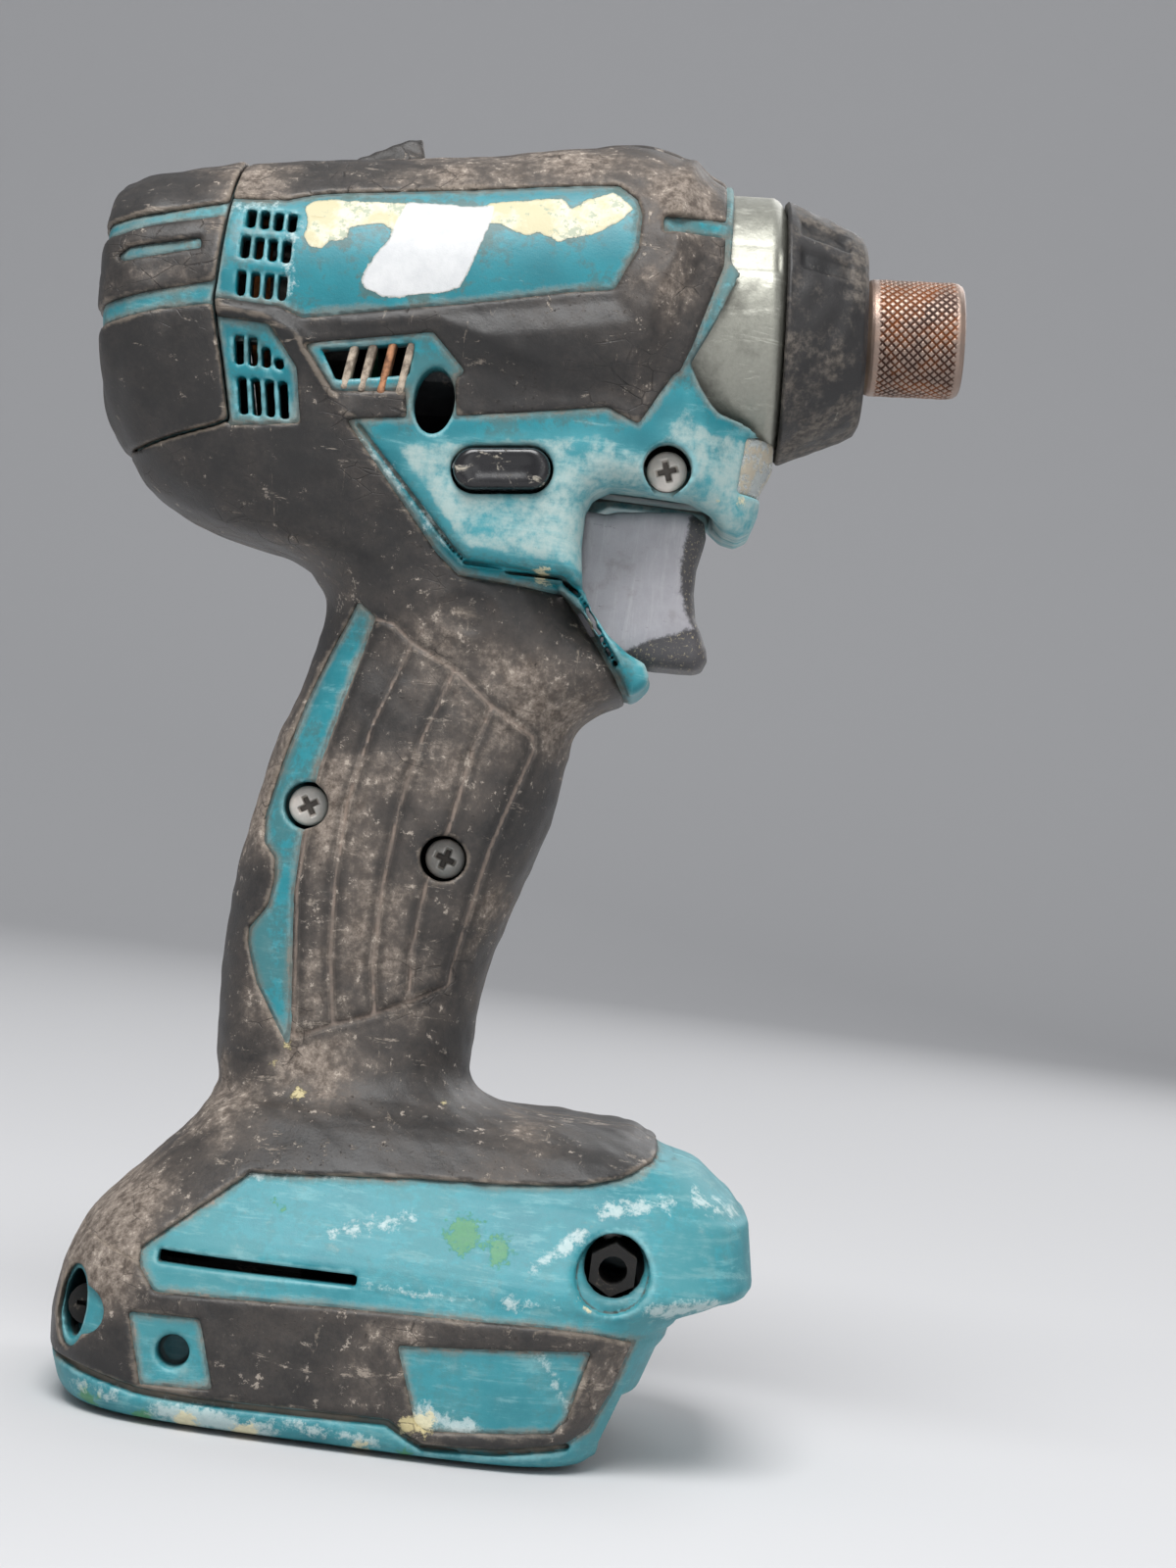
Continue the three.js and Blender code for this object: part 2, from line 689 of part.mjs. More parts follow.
const jaw = (angle) =>
  solid(new THREE.BoxGeometry(6, 5.6, 8).translate(36.4, 13, 0).rotateX(angle))
    .intersect(bar(30, 39.4, 15.6, 16));
const hammerBody = turnedRing(
  [
    [20.6, 12.2], [20.6, 16.6], [34, 16.6], [34, 5.6], [30.4, 5.6], [30.4, 8.4], [26.2, 8.4],
    [26.2, 12.2],
  ].reverse(),
  40,
);
const jawAngles = [Math.PI / 2, -Math.PI / 2];
addNode(
  "hammer",
  union([hammerBody, ...jawAngles.map(jaw)]),
  finish.darkSteel,
  driveLine,
);
addNode("hammer_spring", coilSpring(9.4, 25.6, 10.2, 1.1, 4), finish.steel, driveLine);
[0, Math.PI].forEach((angle, i) => {
  const ball = new THREE.SphereGeometry(1.9, 8, 6).translate(0, 6.2, 0);
  const placed = ball.rotateX(angle).translate(28.3, 0, 0);
  addNode(`hammer_ball_${i + 1}`, solid(placed), finish.steel, driveLine);
});

// ---- Spindle and planetary gear -----------------------------------------------------------

const orbitPoint = (i) => {
  const angle = (2 * Math.PI * i) / PLANETS;
  return [PLANET_ORBIT * Math.cos(angle), PLANET_ORBIT * Math.sin(angle)];
};
const PIN_R = 1.9;
const pinBar = (i, r, uLow, uHigh) =>
  solid(geometryOf(bar(uLow, uHigh, r, 12)).translate(0, ...orbitPoint(i)));
const pinBars = (r, uLow, uHigh) =>
  union([...Array(PLANETS).keys()].map((i) => pinBar(i, r, uLow, uHigh)));

// The grooves that hold the hammer's balls are cut as one long waist.
const spindleBody = turned([
  [36, 0], [36, 3.6], [35, SPINDLE_R], [30.8, SPINDLE_R], [30, 4], [18, 4], [17, SPINDLE_R],
  [8.6, SPINDLE_R], [8.2, 15], [4.4, 15], [4.4, 0],
], 20);
addNode(
  "spindle",
  spindleBody.subtract(pinBars(PIN_R + 0.12, 0, 7.4)),
  finish.darkSteel,
  driveLine,
);

// Half the angle that a tooth takes up at radius r.
function toothHalfAngle(teeth, r, thickness) {
  const pitchR = (MODULE * teeth) / 2;
  const baseR = pitchR * Math.cos(PRESSURE_ANGLE);
  const involute = (angle) => Math.tan(angle) - angle;
  const slope = Math.acos(Math.min(1, baseR / Math.max(r, baseR)));
  return thickness / (2 * pitchR) + involute(PRESSURE_ANGLE) - involute(slope);
}

// A spur gear's outline with a tooth on its first axis.
function gearOutline(teeth, thickness, addendum, dedendum) {
  const pitchR = (MODULE * teeth) / 2;
  const rootR = pitchR - dedendum * MODULE;
  const tipR = pitchR + addendum * MODULE;
  const radii = [rootR, tipR];
  const outline = new THREE.Shape();
  for (let tooth = 0; tooth < teeth; tooth++) {
    const centre = (2 * Math.PI * tooth) / teeth;
    for (const side of [-1, 1]) {
      const flank = side < 0 ? radii : [...radii].reverse();
      for (const r of flank) {
        const angle = centre + side * toothHalfAngle(teeth, r, thickness);
        const move = tooth === 0 && side < 0 && r === rootR ? "moveTo" : "lineTo";
        outline[move](r * Math.cos(angle), r * Math.sin(angle));
      }
    }
  }
  return outline;
}

// An outline in the plane across the spindle axis, made solid from uLow to uHigh.
function acrossAxis(outline, uLow, uHigh) {
  const plate = new THREE.ExtrudeGeometry(outline, { depth: uHigh - uLow, bevelEnabled: false });
  const turn = new THREE.Matrix4().makeBasis(
    new THREE.Vector3(0, 1, 0),
    new THREE.Vector3(0, 0, 1),
    new THREE.Vector3(1, 0, 0),
  );
  return solid(plate.applyMatrix4(turn).translate(uLow, 0, 0));
}

const GEAR_REAR = GEAR_FRONT - GEAR_WIDTH;
const TOOTH = (Math.PI * MODULE) / 2;
const planetBlank = acrossAxis(
  gearOutline(PLANET_TEETH, TOOTH - BACKLASH, 0.8, 1.15),
  GEAR_REAR,
  GEAR_FRONT,
).subtract(bar(GEAR_REAR - 1, GEAR_FRONT + 1, PIN_R + 0.15, 12));
for (let i = 0; i < PLANETS; i++) {
  const geometry = geometryOf(planetBlank)
    .rotateX((2 * Math.PI * i) / PLANETS)
    .translate(0, ...orbitPoint(i));
  addNode(`planet_gear_${i + 1}`, solid(geometry), finish.steel, driveLine);
  const pin = pinBar(i, PIN_R, GEAR_REAR - 0.6, 7);
  addNode(`planet_pin_${i + 1}`, pin, finish.steel, driveLine);
}
addNode(
  "ring_gear",
  bar(GEAR_REAR, GEAR_FRONT, GEAR_BORE - GAP, 24).subtract(
    acrossAxis(
      gearOutline(RING_TEETH, TOOTH + BACKLASH, 1.15, 0.8),
      GEAR_REAR - 1,
      GEAR_FRONT + 1,
    ),
  ),
  finish.darkSteel,
  driveLine,
);

// ---- Gear case cover and bearings ---------------------------------------------------------

const SHAFT_R = 2.4;
addNode(
  "gear_case_cover",
  turnedRing(
    [
      [-5, 19.6], [-10.6, 19.6], [-10.6, 8.4], [-8, 8.4], [-8, 5], [-5.4, 5], [-5.4, 12],
      [-5, 12],
    ],
    20,
  ),
  finish.blackPlastic,
  driveLine,
);
addNode("spindle_bearing", tube(8.9, 13, 11.4, CASE_R - CASE_WALL - GAP, 20), finish.steel, driveLine);
addNode("motor_front_bearing", tube(-10.6, -8.3, SHAFT_R + 0.1, 8, 16), finish.steel, driveLine);
addNode("motor_rear_bearing", tube(-51.8, -48.6, SHAFT_R + 0.1, 8, 16), finish.steel, driveLine);

// ---- Brushless motor ----------------------------------------------------------------------

const ROTOR_R = 9.4;
const STATOR_FRONT = -16.5;
const STATOR_REAR = -34.5;
addNode(
  "rotor",
  tube(STATOR_REAR + 3, STATOR_FRONT - 3, SHAFT_R + GAP, ROTOR_R, 16),
  finish.darkSteel,
  driveLine,
);
const sun = acrossAxis(
  gearOutline(SUN_TEETH, TOOTH - BACKLASH, 0.8, 1.15),
  GEAR_REAR + 0.4,
  GEAR_FRONT - 0.4,
);
addNode(
  "motor_shaft",
  bar(-51.8, GEAR_REAR + 1, SHAFT_R, 16).add(sun),
  finish.steel,
  driveLine,
);

// Curved fan blades are kept as straight plates on a back disc.
const fanBlades = [];
for (let i = 0; i < 7; i++) {
  const blade = new THREE.BoxGeometry(4.2, 8.4, 0.9).translate(-39.4, 11, 0);
  fanBlades.push(solid(blade.rotateX((2 * Math.PI * i) / 7)));
}
addNode(
  "cooling_fan",
  union([tube(-43, -41.2, SHAFT_R + GAP, 15.6, 18),
    tube(-42, -36.6, SHAFT_R + GAP, 7.4, 18), ...fanBlades]),
  finish.blackPlastic,
  driveLine,
);

const SLOTS = 6;
const toothBars = [];
for (let i = 0; i < SLOTS; i++) {
  const pole = new THREE.BoxGeometry(12, 7, 3.6).translate(-25.5, 13.6, 0);
  toothBars.push(solid(pole.rotateX((2 * Math.PI * i) / SLOTS)));
}
addNode(
  "stator",
  tube(-31.5, -19.5, 15.6, MOTOR_BORE - GAP, 24).add(union(toothBars)),
  finish.darkSteel,
  driveLine,
);
const coilEnds = [];
for (let i = 0; i < SLOTS; i++) {
  const lobe = new THREE.BoxGeometry(1.6, 5, 7).translate(-33, 13, 0);
  coilEnds.push(solid(lobe.rotateX((2 * Math.PI * i) / SLOTS)));
}
addNode(
  "stator_windings",
  union([tube(-34.2, -31.9, 12.4, 15.2, 18), ...coilEnds]),
  finish.copper,
  driveLine,
);
addNode("sensor_board", tube(-17.6, -16, 6, 17, 18), finish.circuitBoard, driveLine);

// ---- Switch, trigger and reversing lever --------------------------------------------------

addNode(
  "switch_body",
  block([-12, -8, 113.2], [8.6, 8, 131.2]).add(block([-8, -6, 131], [8, 6, 132.2])),
  finish.blackPlastic,
);

// Side view of the trigger: a deep finger hollow in front, a flat back.
const TRIGGER = [
  [16.2, 134.4], [21.7, 134.8], [32.4, 136.2], [34.4, 135.2], [34.9, 133.2], [34.1, 128.3],
  [34.2, 124.7], [34.9, 121.2], [37.1, 116.8], [37.4, 115.2], [36.6, 113.5], [35.6, 113],
  [16.2, 113],
];
const STEM_R = 3;
const triggerStem = solid(
  new THREE.CylinderGeometry(STEM_R, STEM_R, 2.6, 16).rotateZ(Math.PI / 2).translate(15.2, 0, 122),
);
addNode("trigger", slab(TRIGGER, TRIGGER_HALF_WIDTH).add(triggerStem), finish.greyPlastic);

const triggerSpring = coilSpring(0.4, 6.4, 4.4, 0.5, 3);
addNode(
  "trigger_spring",
  solid(geometryOf(triggerSpring).translate(9.2, 0, 122)),
  finish.steel,
);

addNode("reversing_lever", leverForm(0, LEVER.halfWidth), finish.blackPlastic);

// ---- Work lamp ----------------------------------------------------------------------------

addNode("lamp_board", block([33.6, -5.6, 139.2], [35, 5.6, 143]), finish.circuitBoard);
addNode("lamp_lens", block([35.4, -5.9, 139.6], [43.4, 5.9, 143.3]), finish.clearPlastic);

// ---- Foot: controller and battery terminals -----------------------------------------------

addNode("controller", block([-22, -17, 24], [20, 17, 33]), finish.blackPlastic);
const terminalBase = block([-30.2, -12.2, 7.4], [-9, 12.2, 20]);
const terminalSlots = [-7, 0, 7].map((y) => block([-31, y - 1, 5], [-18, y + 1, 12]));
addNode(
  "terminal_block",
  terminalBase.subtract(union(terminalSlots)),
  finish.blackPlastic,
);

// ---- Leads --------------------------------------------------------------------------------

// A bundle of leads along a route of [x, y, z] points.
function leads(route, r) {
  const curve = new THREE.CatmullRomCurve3(route.map((point) => new THREE.Vector3(...point)));
  const section = new THREE.Shape();
  for (let i = 0; i < 8; i++) {
    const angle = (Math.PI * i) / 4;
    section[i ? "lineTo" : "moveTo"](r * Math.cos(angle), r * Math.sin(angle));
  }
  return solid(
    new THREE.ExtrudeGeometry(section, { steps: 10, extrudePath: curve, bevelEnabled: false }),
  );
}
addNode(
  "battery_leads",
  leads([[-4, 0, 33.6], [-6, 0, 50], [-6, 0, 72], [-7, 0, 96], [-4, 0, 112.6]], 2),
  finish.blackPlastic,
);

export default standing;
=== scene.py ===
import math

import bpy
import numpy as np
import openvdb
from mathutils import Matrix, Vector


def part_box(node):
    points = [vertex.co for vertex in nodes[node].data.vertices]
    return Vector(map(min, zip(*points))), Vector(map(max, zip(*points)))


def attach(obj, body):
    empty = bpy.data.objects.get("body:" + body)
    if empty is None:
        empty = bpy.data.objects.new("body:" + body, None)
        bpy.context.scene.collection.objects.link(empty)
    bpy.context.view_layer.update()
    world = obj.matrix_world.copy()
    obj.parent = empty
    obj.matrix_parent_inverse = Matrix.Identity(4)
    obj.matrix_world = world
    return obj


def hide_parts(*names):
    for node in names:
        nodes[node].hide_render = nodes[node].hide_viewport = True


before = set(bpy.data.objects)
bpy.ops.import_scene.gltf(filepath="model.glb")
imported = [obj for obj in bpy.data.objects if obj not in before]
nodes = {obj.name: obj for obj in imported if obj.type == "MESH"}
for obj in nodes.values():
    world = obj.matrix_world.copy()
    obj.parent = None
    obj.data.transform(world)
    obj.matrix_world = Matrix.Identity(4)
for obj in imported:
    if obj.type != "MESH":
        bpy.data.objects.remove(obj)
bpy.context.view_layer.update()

# ---- Camera -------------------------------------------------------------------------------
# The camera stands square to the tool's right side, level with the grip, a little under half
# a metre away, and is rolled so that the nose points slightly down in the picture.
HOOK_X = 0.0348  # the hook insert lies this far in front of the foot's middle
insert_low, insert_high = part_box("hook_insert_right")
FOOT_MIDDLE = Vector(((insert_low.x + insert_high.x) / 2 - HOOK_X, 0.0, 0.0))
CAMERA_AT = FOOT_MIDDLE + Vector((0.0269, -0.476, 0.0841))
LOOKS_AT = FOOT_MIDDLE + Vector((0.0224, 0.0, 0.0951))
ROLL = math.radians(7.5)
LENS_MM = 74.25

camera = bpy.data.objects.new("camera", bpy.data.cameras.new("camera"))
bpy.context.scene.collection.objects.link(camera)
camera.data.lens = LENS_MM
camera.data.sensor_width = 36.0
camera.data.clip_start = 0.01
forward = (LOOKS_AT - CAMERA_AT).normalized()
across = Vector((math.cos(ROLL), 0.0, math.sin(ROLL)))
across = (across - forward * across.dot(forward)).normalized()
up = across.cross(forward)
camera.matrix_world = Matrix.LocRotScale(
    CAMERA_AT, Matrix((across, up, -forward)).transposed(), Vector((1, 1, 1))
)
bpy.context.scene.camera = camera
bpy.context.scene.view_settings.view_transform = "Standard"

# ---- Floor and light ----------------------------------------------------------------------
# A pale sweep, flat under the tool and curved up far behind it, under one large soft lamp
# above, a weaker one from behind and a faint one from the camera's side.
COVE_START, COVE_RADIUS, SWEEP_HALF, SWEEP_TOP = 1.5, 0.6, 3.0, 2.5
LAMPS_AIM_AT = (0.0, 0.0, 0.1)


def sweep():
    profile = [(-SWEEP_HALF, 0.0), (0.0, 0.0), (COVE_START, 0.0)]
    for k in range(1, 13):
        angle = math.pi / 2 * k / 12
        profile.append(
            (COVE_START + COVE_RADIUS * math.sin(angle), COVE_RADIUS * (1 - math.cos(angle)))
        )
    profile.append((COVE_START + COVE_RADIUS, SWEEP_TOP))
    verts = [(side * SWEEP_HALF, y, z) for y, z in profile for side in (-1, 1)]
    faces = [(2 * k, 2 * k + 1, 2 * k + 3, 2 * k + 2) for k in range(len(profile) - 1)]
    mesh = bpy.data.meshes.new("sweep")
    mesh.from_pydata(verts, [], faces)
    mesh.shade_smooth()
    floor = bpy.data.objects.new("sweep", mesh)
    bpy.context.scene.collection.objects.link(floor)
    paper = bpy.data.materials.new("pale_paper")
    paper.use_nodes = True
    inputs = paper.node_tree.nodes["Principled BSDF"].inputs
    inputs["Base Color"].default_value = (0.55, 0.55, 0.56, 1)
    inputs["Roughness"].default_value = 0.9
    mesh.materials.append(paper)


def soft_lamp(name, at, width, watts):
    data = bpy.data.lights.new(name, "AREA")
    data.shape = "RECTANGLE"
    data.size = data.size_y = width
    data.energy = watts
    lamp = bpy.data.objects.new(name, data)
    bpy.context.scene.collection.objects.link(lamp)
    lamp.location = at
    lamp.rotation_euler = (Vector(LAMPS_AIM_AT) - Vector(at)).to_track_quat("-Z", "Y").to_euler()


sweep()
soft_lamp("key", (-0.10, -0.55, 0.95), 0.55, 12.5)
soft_lamp("fill", (0.45, -1.1, 0.25), 0.9, 3.0)
soft_lamp("back", (0.5, 0.9, 0.8), 0.9, 6.0)
world = bpy.data.worlds.new("room")
bpy.context.scene.world = world
world.use_nodes = True
world.node_tree.nodes["Background"].inputs["Color"].default_value = (0.9, 0.92, 0.95, 1)
world.node_tree.nodes["Background"].inputs["Strength"].default_value = 0.5

# ---- Housing: outer form ------------------------------------------------------------------
# Two glass-filled nylon half shells, screwed together on the mid-plane. The form is held as a
# distance field in millimetres on a grid over the right half, from which every skin is cut.
STEP = 0.45
MIDDLE_ROW = round(41 / STEP)
GRID_LOW = np.array((-61.0, -MIDDLE_ROW * STEP, -2.0))
GRID_HIGH = np.array((60.0, 3 * STEP, 190.5))
AXIS_HEIGHT = 161.0
NOSE_UP = math.radians(5)

counts = np.ceil((GRID_HIGH - GRID_LOW) / STEP).astype(int)
X, Y, Z = (
    (GRID_LOW[k] + STEP * np.arange(counts[k])).astype(np.float32).reshape(
        [-1 if k == j else 1 for j in range(3)]
    )
    for k in range(3)
)
U = X * math.cos(NOSE_UP) + (Z - AXIS_HEIGHT) * math.sin(NOSE_UP)
V = (Z - AXIS_HEIGHT) * math.cos(NOSE_UP) - X * math.sin(NOSE_UP)
SPREAD = np.abs(Y)


def smooth_max(a, b, radius):
    """The larger of two fields, rounded where they meet."""
    near = np.maximum(radius - np.abs(a - b), 0)
    return np.maximum(a, b) + near * near / (4 * radius)


def smooth_min(a, b, radius):
    return -smooth_max(-a, -b, radius)


def through(stations, values, at):
    """A smooth curve through the stations, read at every place in at."""
    stations = np.array(stations, float)
    values = np.array(values, float)
    if stations[0] > stations[-1]:
        stations, values = stations[::-1], values[::-1]
    slopes = np.gradient(values, stations)
    at = np.clip(at, stations[0], stations[-1])
    k = np.clip(np.searchsorted(stations, at) - 1, 0, len(stations) - 2)
    span = stations[k + 1] - stations[k]
    t = (at - stations[k]) / span
    rise = values[k + 1] - values[k]
    a, b = slopes[k] * span - rise, rise - slopes[k + 1] * span
    bend = t * (1 - t) * (a * (1 - t) + b * t)
    return (values[k] * (1 - t) + values[k + 1] * t + bend).astype(np.float32)


def true_distance(field):
    """Scales a field so that it grows by about 1 for each millimetre."""
    slope = sum(np.gradient(field, STEP, axis=k) ** 2 for k in range(3))
    return field / np.sqrt(np.maximum(slope, 1e-6))


BARREL_SQUARENESS, BARREL_FRONT = 2.25, 39
BARREL = (  # u, top, bottom, half-width
    (-57.4, 11.5, -12.5, 16), (-56, 15.4, -16.8, 20), (-52.2, 17.9, -20.5, 23.4),
    (-44, 20, -23, 25), (-26, 22.3, -25, 26), (-4, 23.6, -24, 25.8), (12, 25.6, -23.4, 25.4),
    (23, 26.1, -23, 25), (27.6, 24.6, -22.2, 24), (32, 21.9, -21.6, 22.4), (37, 20.8, -20.8, 21),
)
HANDLE = (  # z, rear x, front x, half-width
    (150, -53.4, 15, 24.4), (140, -53.6, 16, 24.2), (133.6, -50.6, 17.4, 22.8),
    (127.4, -44.4, 18.6, 20.4), (124.2, -36.5, 18.8, 19.2), (122.2, -26.5, 19, 18.7),
    (118.5, -20.6, 20.8, 18.3), (115.3, -19.2, 24, 17.9), (113, -19.3, 27.6, 17.5),
    (111.2, -19.7, 29.8, 17.2), (109.3, -20, 29.6, 17), (107.4, -20.4, 27, 17),
    (105.2, -21, 23, 17.1), (103, -21.6, 20.6, 17.2),
    (98, -23.4, 19.2, 17.4), (89, -25.2, 18.1, 17.6), (75, -27.2, 14.1, 17), (64, -27.5, 11.3, 16.8),
    (56, -27.1, 11, 17), (49, -26.5, 12.3, 18.4), (44.4, -25.8, 20, 21), (38, -27, 32, 25),
)
FOOT = (  # z, rear x, front x, half-width
    (46.6, -17, 38.4, 18), (45.4, -20, 39.2, 20.4), (44, -25, 43.4, 23), (42.4, -26.4, 47.8, 25),
    (38.6, -29, 52.6, 28.4), (35.8, -31.6, 55, 30.6), (27, -39.4, 56.6, 36.2),
    (25.4, -40.4, 55.8, 37), (23.4, -41.2, 52, 37.7), (21.6, -41.9, 48, 38), (19.6, -42.5, 45.4, 38.2),
    (17, -43, 43.4, 38.2), (12, -43.6, 41.8, 38.2), (6.4, -43.2, 39.9, 38), (2, -41.6, 38.3, 37.9),
    (0, -40.8, 37.6, 37.6),
)
TRIGGER_HOUSING = (
    (-18, 152), (-17, 140.8), (-3, 125), (0.4, 122.2), (15.4, 121.8), (18.8, 121.9), (17.8, 128.4),
    (17.7, 133.2), (18.4, 135), (20.4, 136.3), (25.2, 136.4), (31.5, 136.2), (34.4, 135),
    (36.8, 133), (39.4, 132.3), (41.6, 133.6), (42.4, 136.4), (42.7, 140.3), (44, 143.4),
    (43.8, 147.2), (42.4, 149.8), (36, 156),
)


def straight_through(stations, values, at):
    """Straight lines through the stations, read at every place in at."""
    return np.interp(at, stations[::-1], values[::-1]).astype(np.float32)


def column(sections, exponent, curve=through):
    """A loft of rounded rectangles, one above the other."""
    z, rear, front, half_width = np.array(sections, float).T
    middle = curve(z, (rear + front) / 2, Z)
    half_length = curve(z, (front - rear) / 2, Z)
    half_width = curve(z, half_width, Z)
    form = (np.abs(X - middle) / half_length) ** exponent + (SPREAD / half_width) ** exponent
    form = true_distance((form ** (1 / exponent) - 1) * np.minimum(half_length, half_width))
    return smooth_max(form, np.maximum(Z - z.max(), z.min() - Z), 3.0)


def barrel():
    u, top, bottom, half_width = np.array(BARREL, float).T
    middle = through(u, (top + bottom) / 2, U)
    half_height = through(u, (top - bottom) / 2, U)
    half_width = through(u, half_width, U)
    form = (np.abs(V - middle) / half_height) ** BARREL_SQUARENESS
    form = form + (SPREAD / half_width) ** BARREL_SQUARENESS
    form = true_distance((form ** (1 / BARREL_SQUARENESS) - 1) * half_height)
    return smooth_max(smooth_max(form, -57.4 - U, 5.0), U - BARREL_FRONT, 1.0)


def line_distance(points, x, z):
    """Distance from an open line in side view."""
    nearest = np.full(np.broadcast(x, z).shape, 1e9, np.float32)
    for (x0, z0), (x1, z1) in zip(points, points[1:]):
        dx, dz = x1 - x0, z1 - z0
        t = np.clip(((x - x0) * dx + (z - z0) * dz) / (dx * dx + dz * dz), 0, 1)
        nearest = np.minimum(nearest, (x - x0 - t * dx) ** 2 + (z - z0 - t * dz) ** 2)
    return np.sqrt(nearest)


def outline_distance(outline, x, z):
    """Distance from a side-view outline, negative inside it."""
    inside = np.zeros(np.broadcast(x, z).shape, bool)
    for (x0, z0), (x1, z1) in zip(outline, outline[1:] + outline[:1]):
        if z1 != z0:
            crosses = (z0 > z) != (z1 > z)
            inside ^= crosses & (x < x0 + (x1 - x0) * (z - z0) / (z1 - z0))
    return np.where(inside, -1, 1) * line_distance(outline + outline[:1], x, z)


def ripple(x, y, z, length, seed):
    """A smooth random field from -1 to 1 whose waves are about length long."""
    rng = np.random.default_rng(seed)
    total = 0.0
    for _ in range(7):
        way = rng.normal(size=3)
        way *= 2 * math.pi / length * rng.uniform(0.6, 1.5) / np.linalg.norm(way)
        total = total + np.sin(way[0] * x + way[1] * y + way[2] * z + rng.uniform(0, 6.28))
    return (total / 3.2).astype(np.float32)


plan_half_width = through(
    (-20, 22, 28, 34, 39, 46), (22.6, 22.6, 22, 18.6, 14, 10), X
)
trigger_housing = smooth_max(
    outline_distance(TRIGGER_HOUSING, X, Z), SPREAD - plan_half_width, 5.0
)
FORM = smooth_min(barrel(), column(HANDLE, 2.5), 3.5)
FORM = smooth_min(FORM, column(FOOT, 4.2, straight_through), 2.5)
LIP_WALL = (  # the side wall that hugs the trigger
    (14, 123), (18.9, 122.5), (20.4, 119.8), (23, 116.8), (26, 114.6), (28.8, 113.4), (29.9, 111.2),
    (29.4, 109.2), (28.2, 108), (26.6, 107.2), (24.6, 110.2), (18, 118.8), (14, 121),
)
lip_wall = smooth_max(outline_distance(LIP_WALL, X, Z), SPREAD - 16.2, 2.0)
FORM = smooth_min(FORM, lip_wall, 1.0)
FORM = smooth_min(FORM, trigger_housing, 1.2)

# ---- Housing: where the nylon shows -------------------------------------------------------
# The elastomer leaves windows through which the teal nylon shows: the label's panel with the
# upper vents, the lower vents, the side inlet, the trigger housing, a strip on the grip, and
# the foot's shoulder, flange and two windows.
LABEL_PANEL = (
    (-38.6, 170), (-30.4, 170.7), (-27.4, 171.8), (-24.3, 172.6), (-5.7, 175.6), (12.4, 178.6),
    (15.8, 179), (18.6, 177.2), (19.5, 175), (19.6, 170), (17.1, 163.9), (11.1, 162.8),
    (5.7, 161.4), (-4.2, 159), (-19.7, 155.6), (-25.6, 154.3), (-28.8, 155.4), (-38.8, 155.6),
)
LOWER_VENT_PANEL = ((-37.4, 152.6), (-30.2, 152.5), (-25.7, 147), (-24.4, 139.8), (-33.9, 138.4))
INLET_PANEL = (
    (-24.6, 150.4), (-7.2, 154.3), (-2.4, 149.8), (-3.5, 148.6), (-2.6, 142), (-9, 141.6),
    (-9.9, 146.2), (-19.9, 144.8),
)
BAR_INLAY = ((22.9, 175.2), (32, 176.3), (32, 174.2), (23.2, 173.1))
TRIGGER_PANEL = (
    (-17.4, 140.8), (-2.9, 124.6), (0.5, 121.9), (15.4, 121.4), (18.1, 118.9), (24.6, 110.4),
    (26.9, 106.8), (34, 106), (50, 130), (50, 150), (34, 150), (29.6, 155), (27.2, 153.4),
    (23.1, 145.6), (18.4, 147.4), (10.5, 145.8), (-2.7, 143.3),
)
FRONT_LIP = ((30.8, 192), (32.3, 169.8), (29.3, 157.4), (27.8, 153.4), (60, 153.4), (60, 192))
GRIP_STRIP = (
    (-13.4, 116.2), (-10.9, 114.4), (-13.9, 102.2), (-16.3, 91.6), (-17.2, 81), (-17.2, 73.8),
    (-15.2, 56), (-14.9, 52.6), (-17.8, 56.6), (-20.5, 60.5), (-22.6, 65.7), (-22.8, 68),
    (-20.4, 71.6), (-19.9, 75.4), (-20.4, 78.6), (-22.4, 80.6), (-22.8, 84.3), (-21.4, 91.9),
    (-19, 101.5), (-16.6, 108.8),
)
FOOT_SHOULDER = (
    (60, 45), (39.6, 44.4), (38.6, 42.9), (34.6, 40.5), (28.8, 38.9), (18.2, 37.8), (5.3, 37),
    (-16.4, 35), (-29.4, 23.6), (-29, 21.2), (-26.6, 18.4), (-2.4, 19.7), (27.2, 20.6),
    (33.6, 20.3), (38.2, 19.5), (60, 19.5),
)
FOOT_FLANGE = (
    (60, 21), (41, 21.2), (39.1, 19.6), (36.9, 12.1), (34.4, 6.6), (31.5, 4.4), (22, 3),
    (12.3, 2.6), (9.6, 3.8), (7.2, 5.4), (-18.1, 4.8), (-27.1, 5), (-36.1, 6.4), (-60, 8),
    (-60, -6), (60, -6),
)
FOOT_WINDOW = ((7.4, 15.4), (33, 17.5), (30.9, 8), (29.4, 6.2), (12.5, 4.8), (11, 5.6))
FOOT_SQUARE = ((-29.5, 14.9), (-20, 15.4), (-17.2, 6.5), (-26.8, 5.8))
PANELS = (
    LABEL_PANEL, LOWER_VENT_PANEL, INLET_PANEL, BAR_INLAY, TRIGGER_PANEL, FRONT_LIP, GRIP_STRIP,
    FOOT_SHOULDER, FOOT_FLANGE, FOOT_WINDOW, FOOT_SQUARE,
)
CASE_WINDOW = (
    (31.9, 192), (33.1, 170.6), (34.8, 169), (32.1, 161.8), (29.2, 155.4), (31, 152.6),
    (32.9, 150.4), (34.3, 149.4), (37.7, 148.9), (40.2, 148.2), (42.7, 146.2), (60, 146), (60, 192),
)
REAR_COVER = (
    (-38.3, 192), (-38.3, 157.7), (-38.4, 155.2), (-36.2, 146.8), (-34.4, 139), (-36.6, 138),
    (-48, 134.4), (-70, 132), (-70, 192),
)

bare = np.minimum.reduce([outline_distance(panel, X, Z) for panel in PANELS])
case_window = outline_distance(CASE_WINDOW, X, Z)
rear_cover_zone = outline_distance(REAR_COVER, X, Z)


def bored(x, z, radius):
    """Distance from a bore along y."""
    return np.hypot(X - x, Z - z) - radius


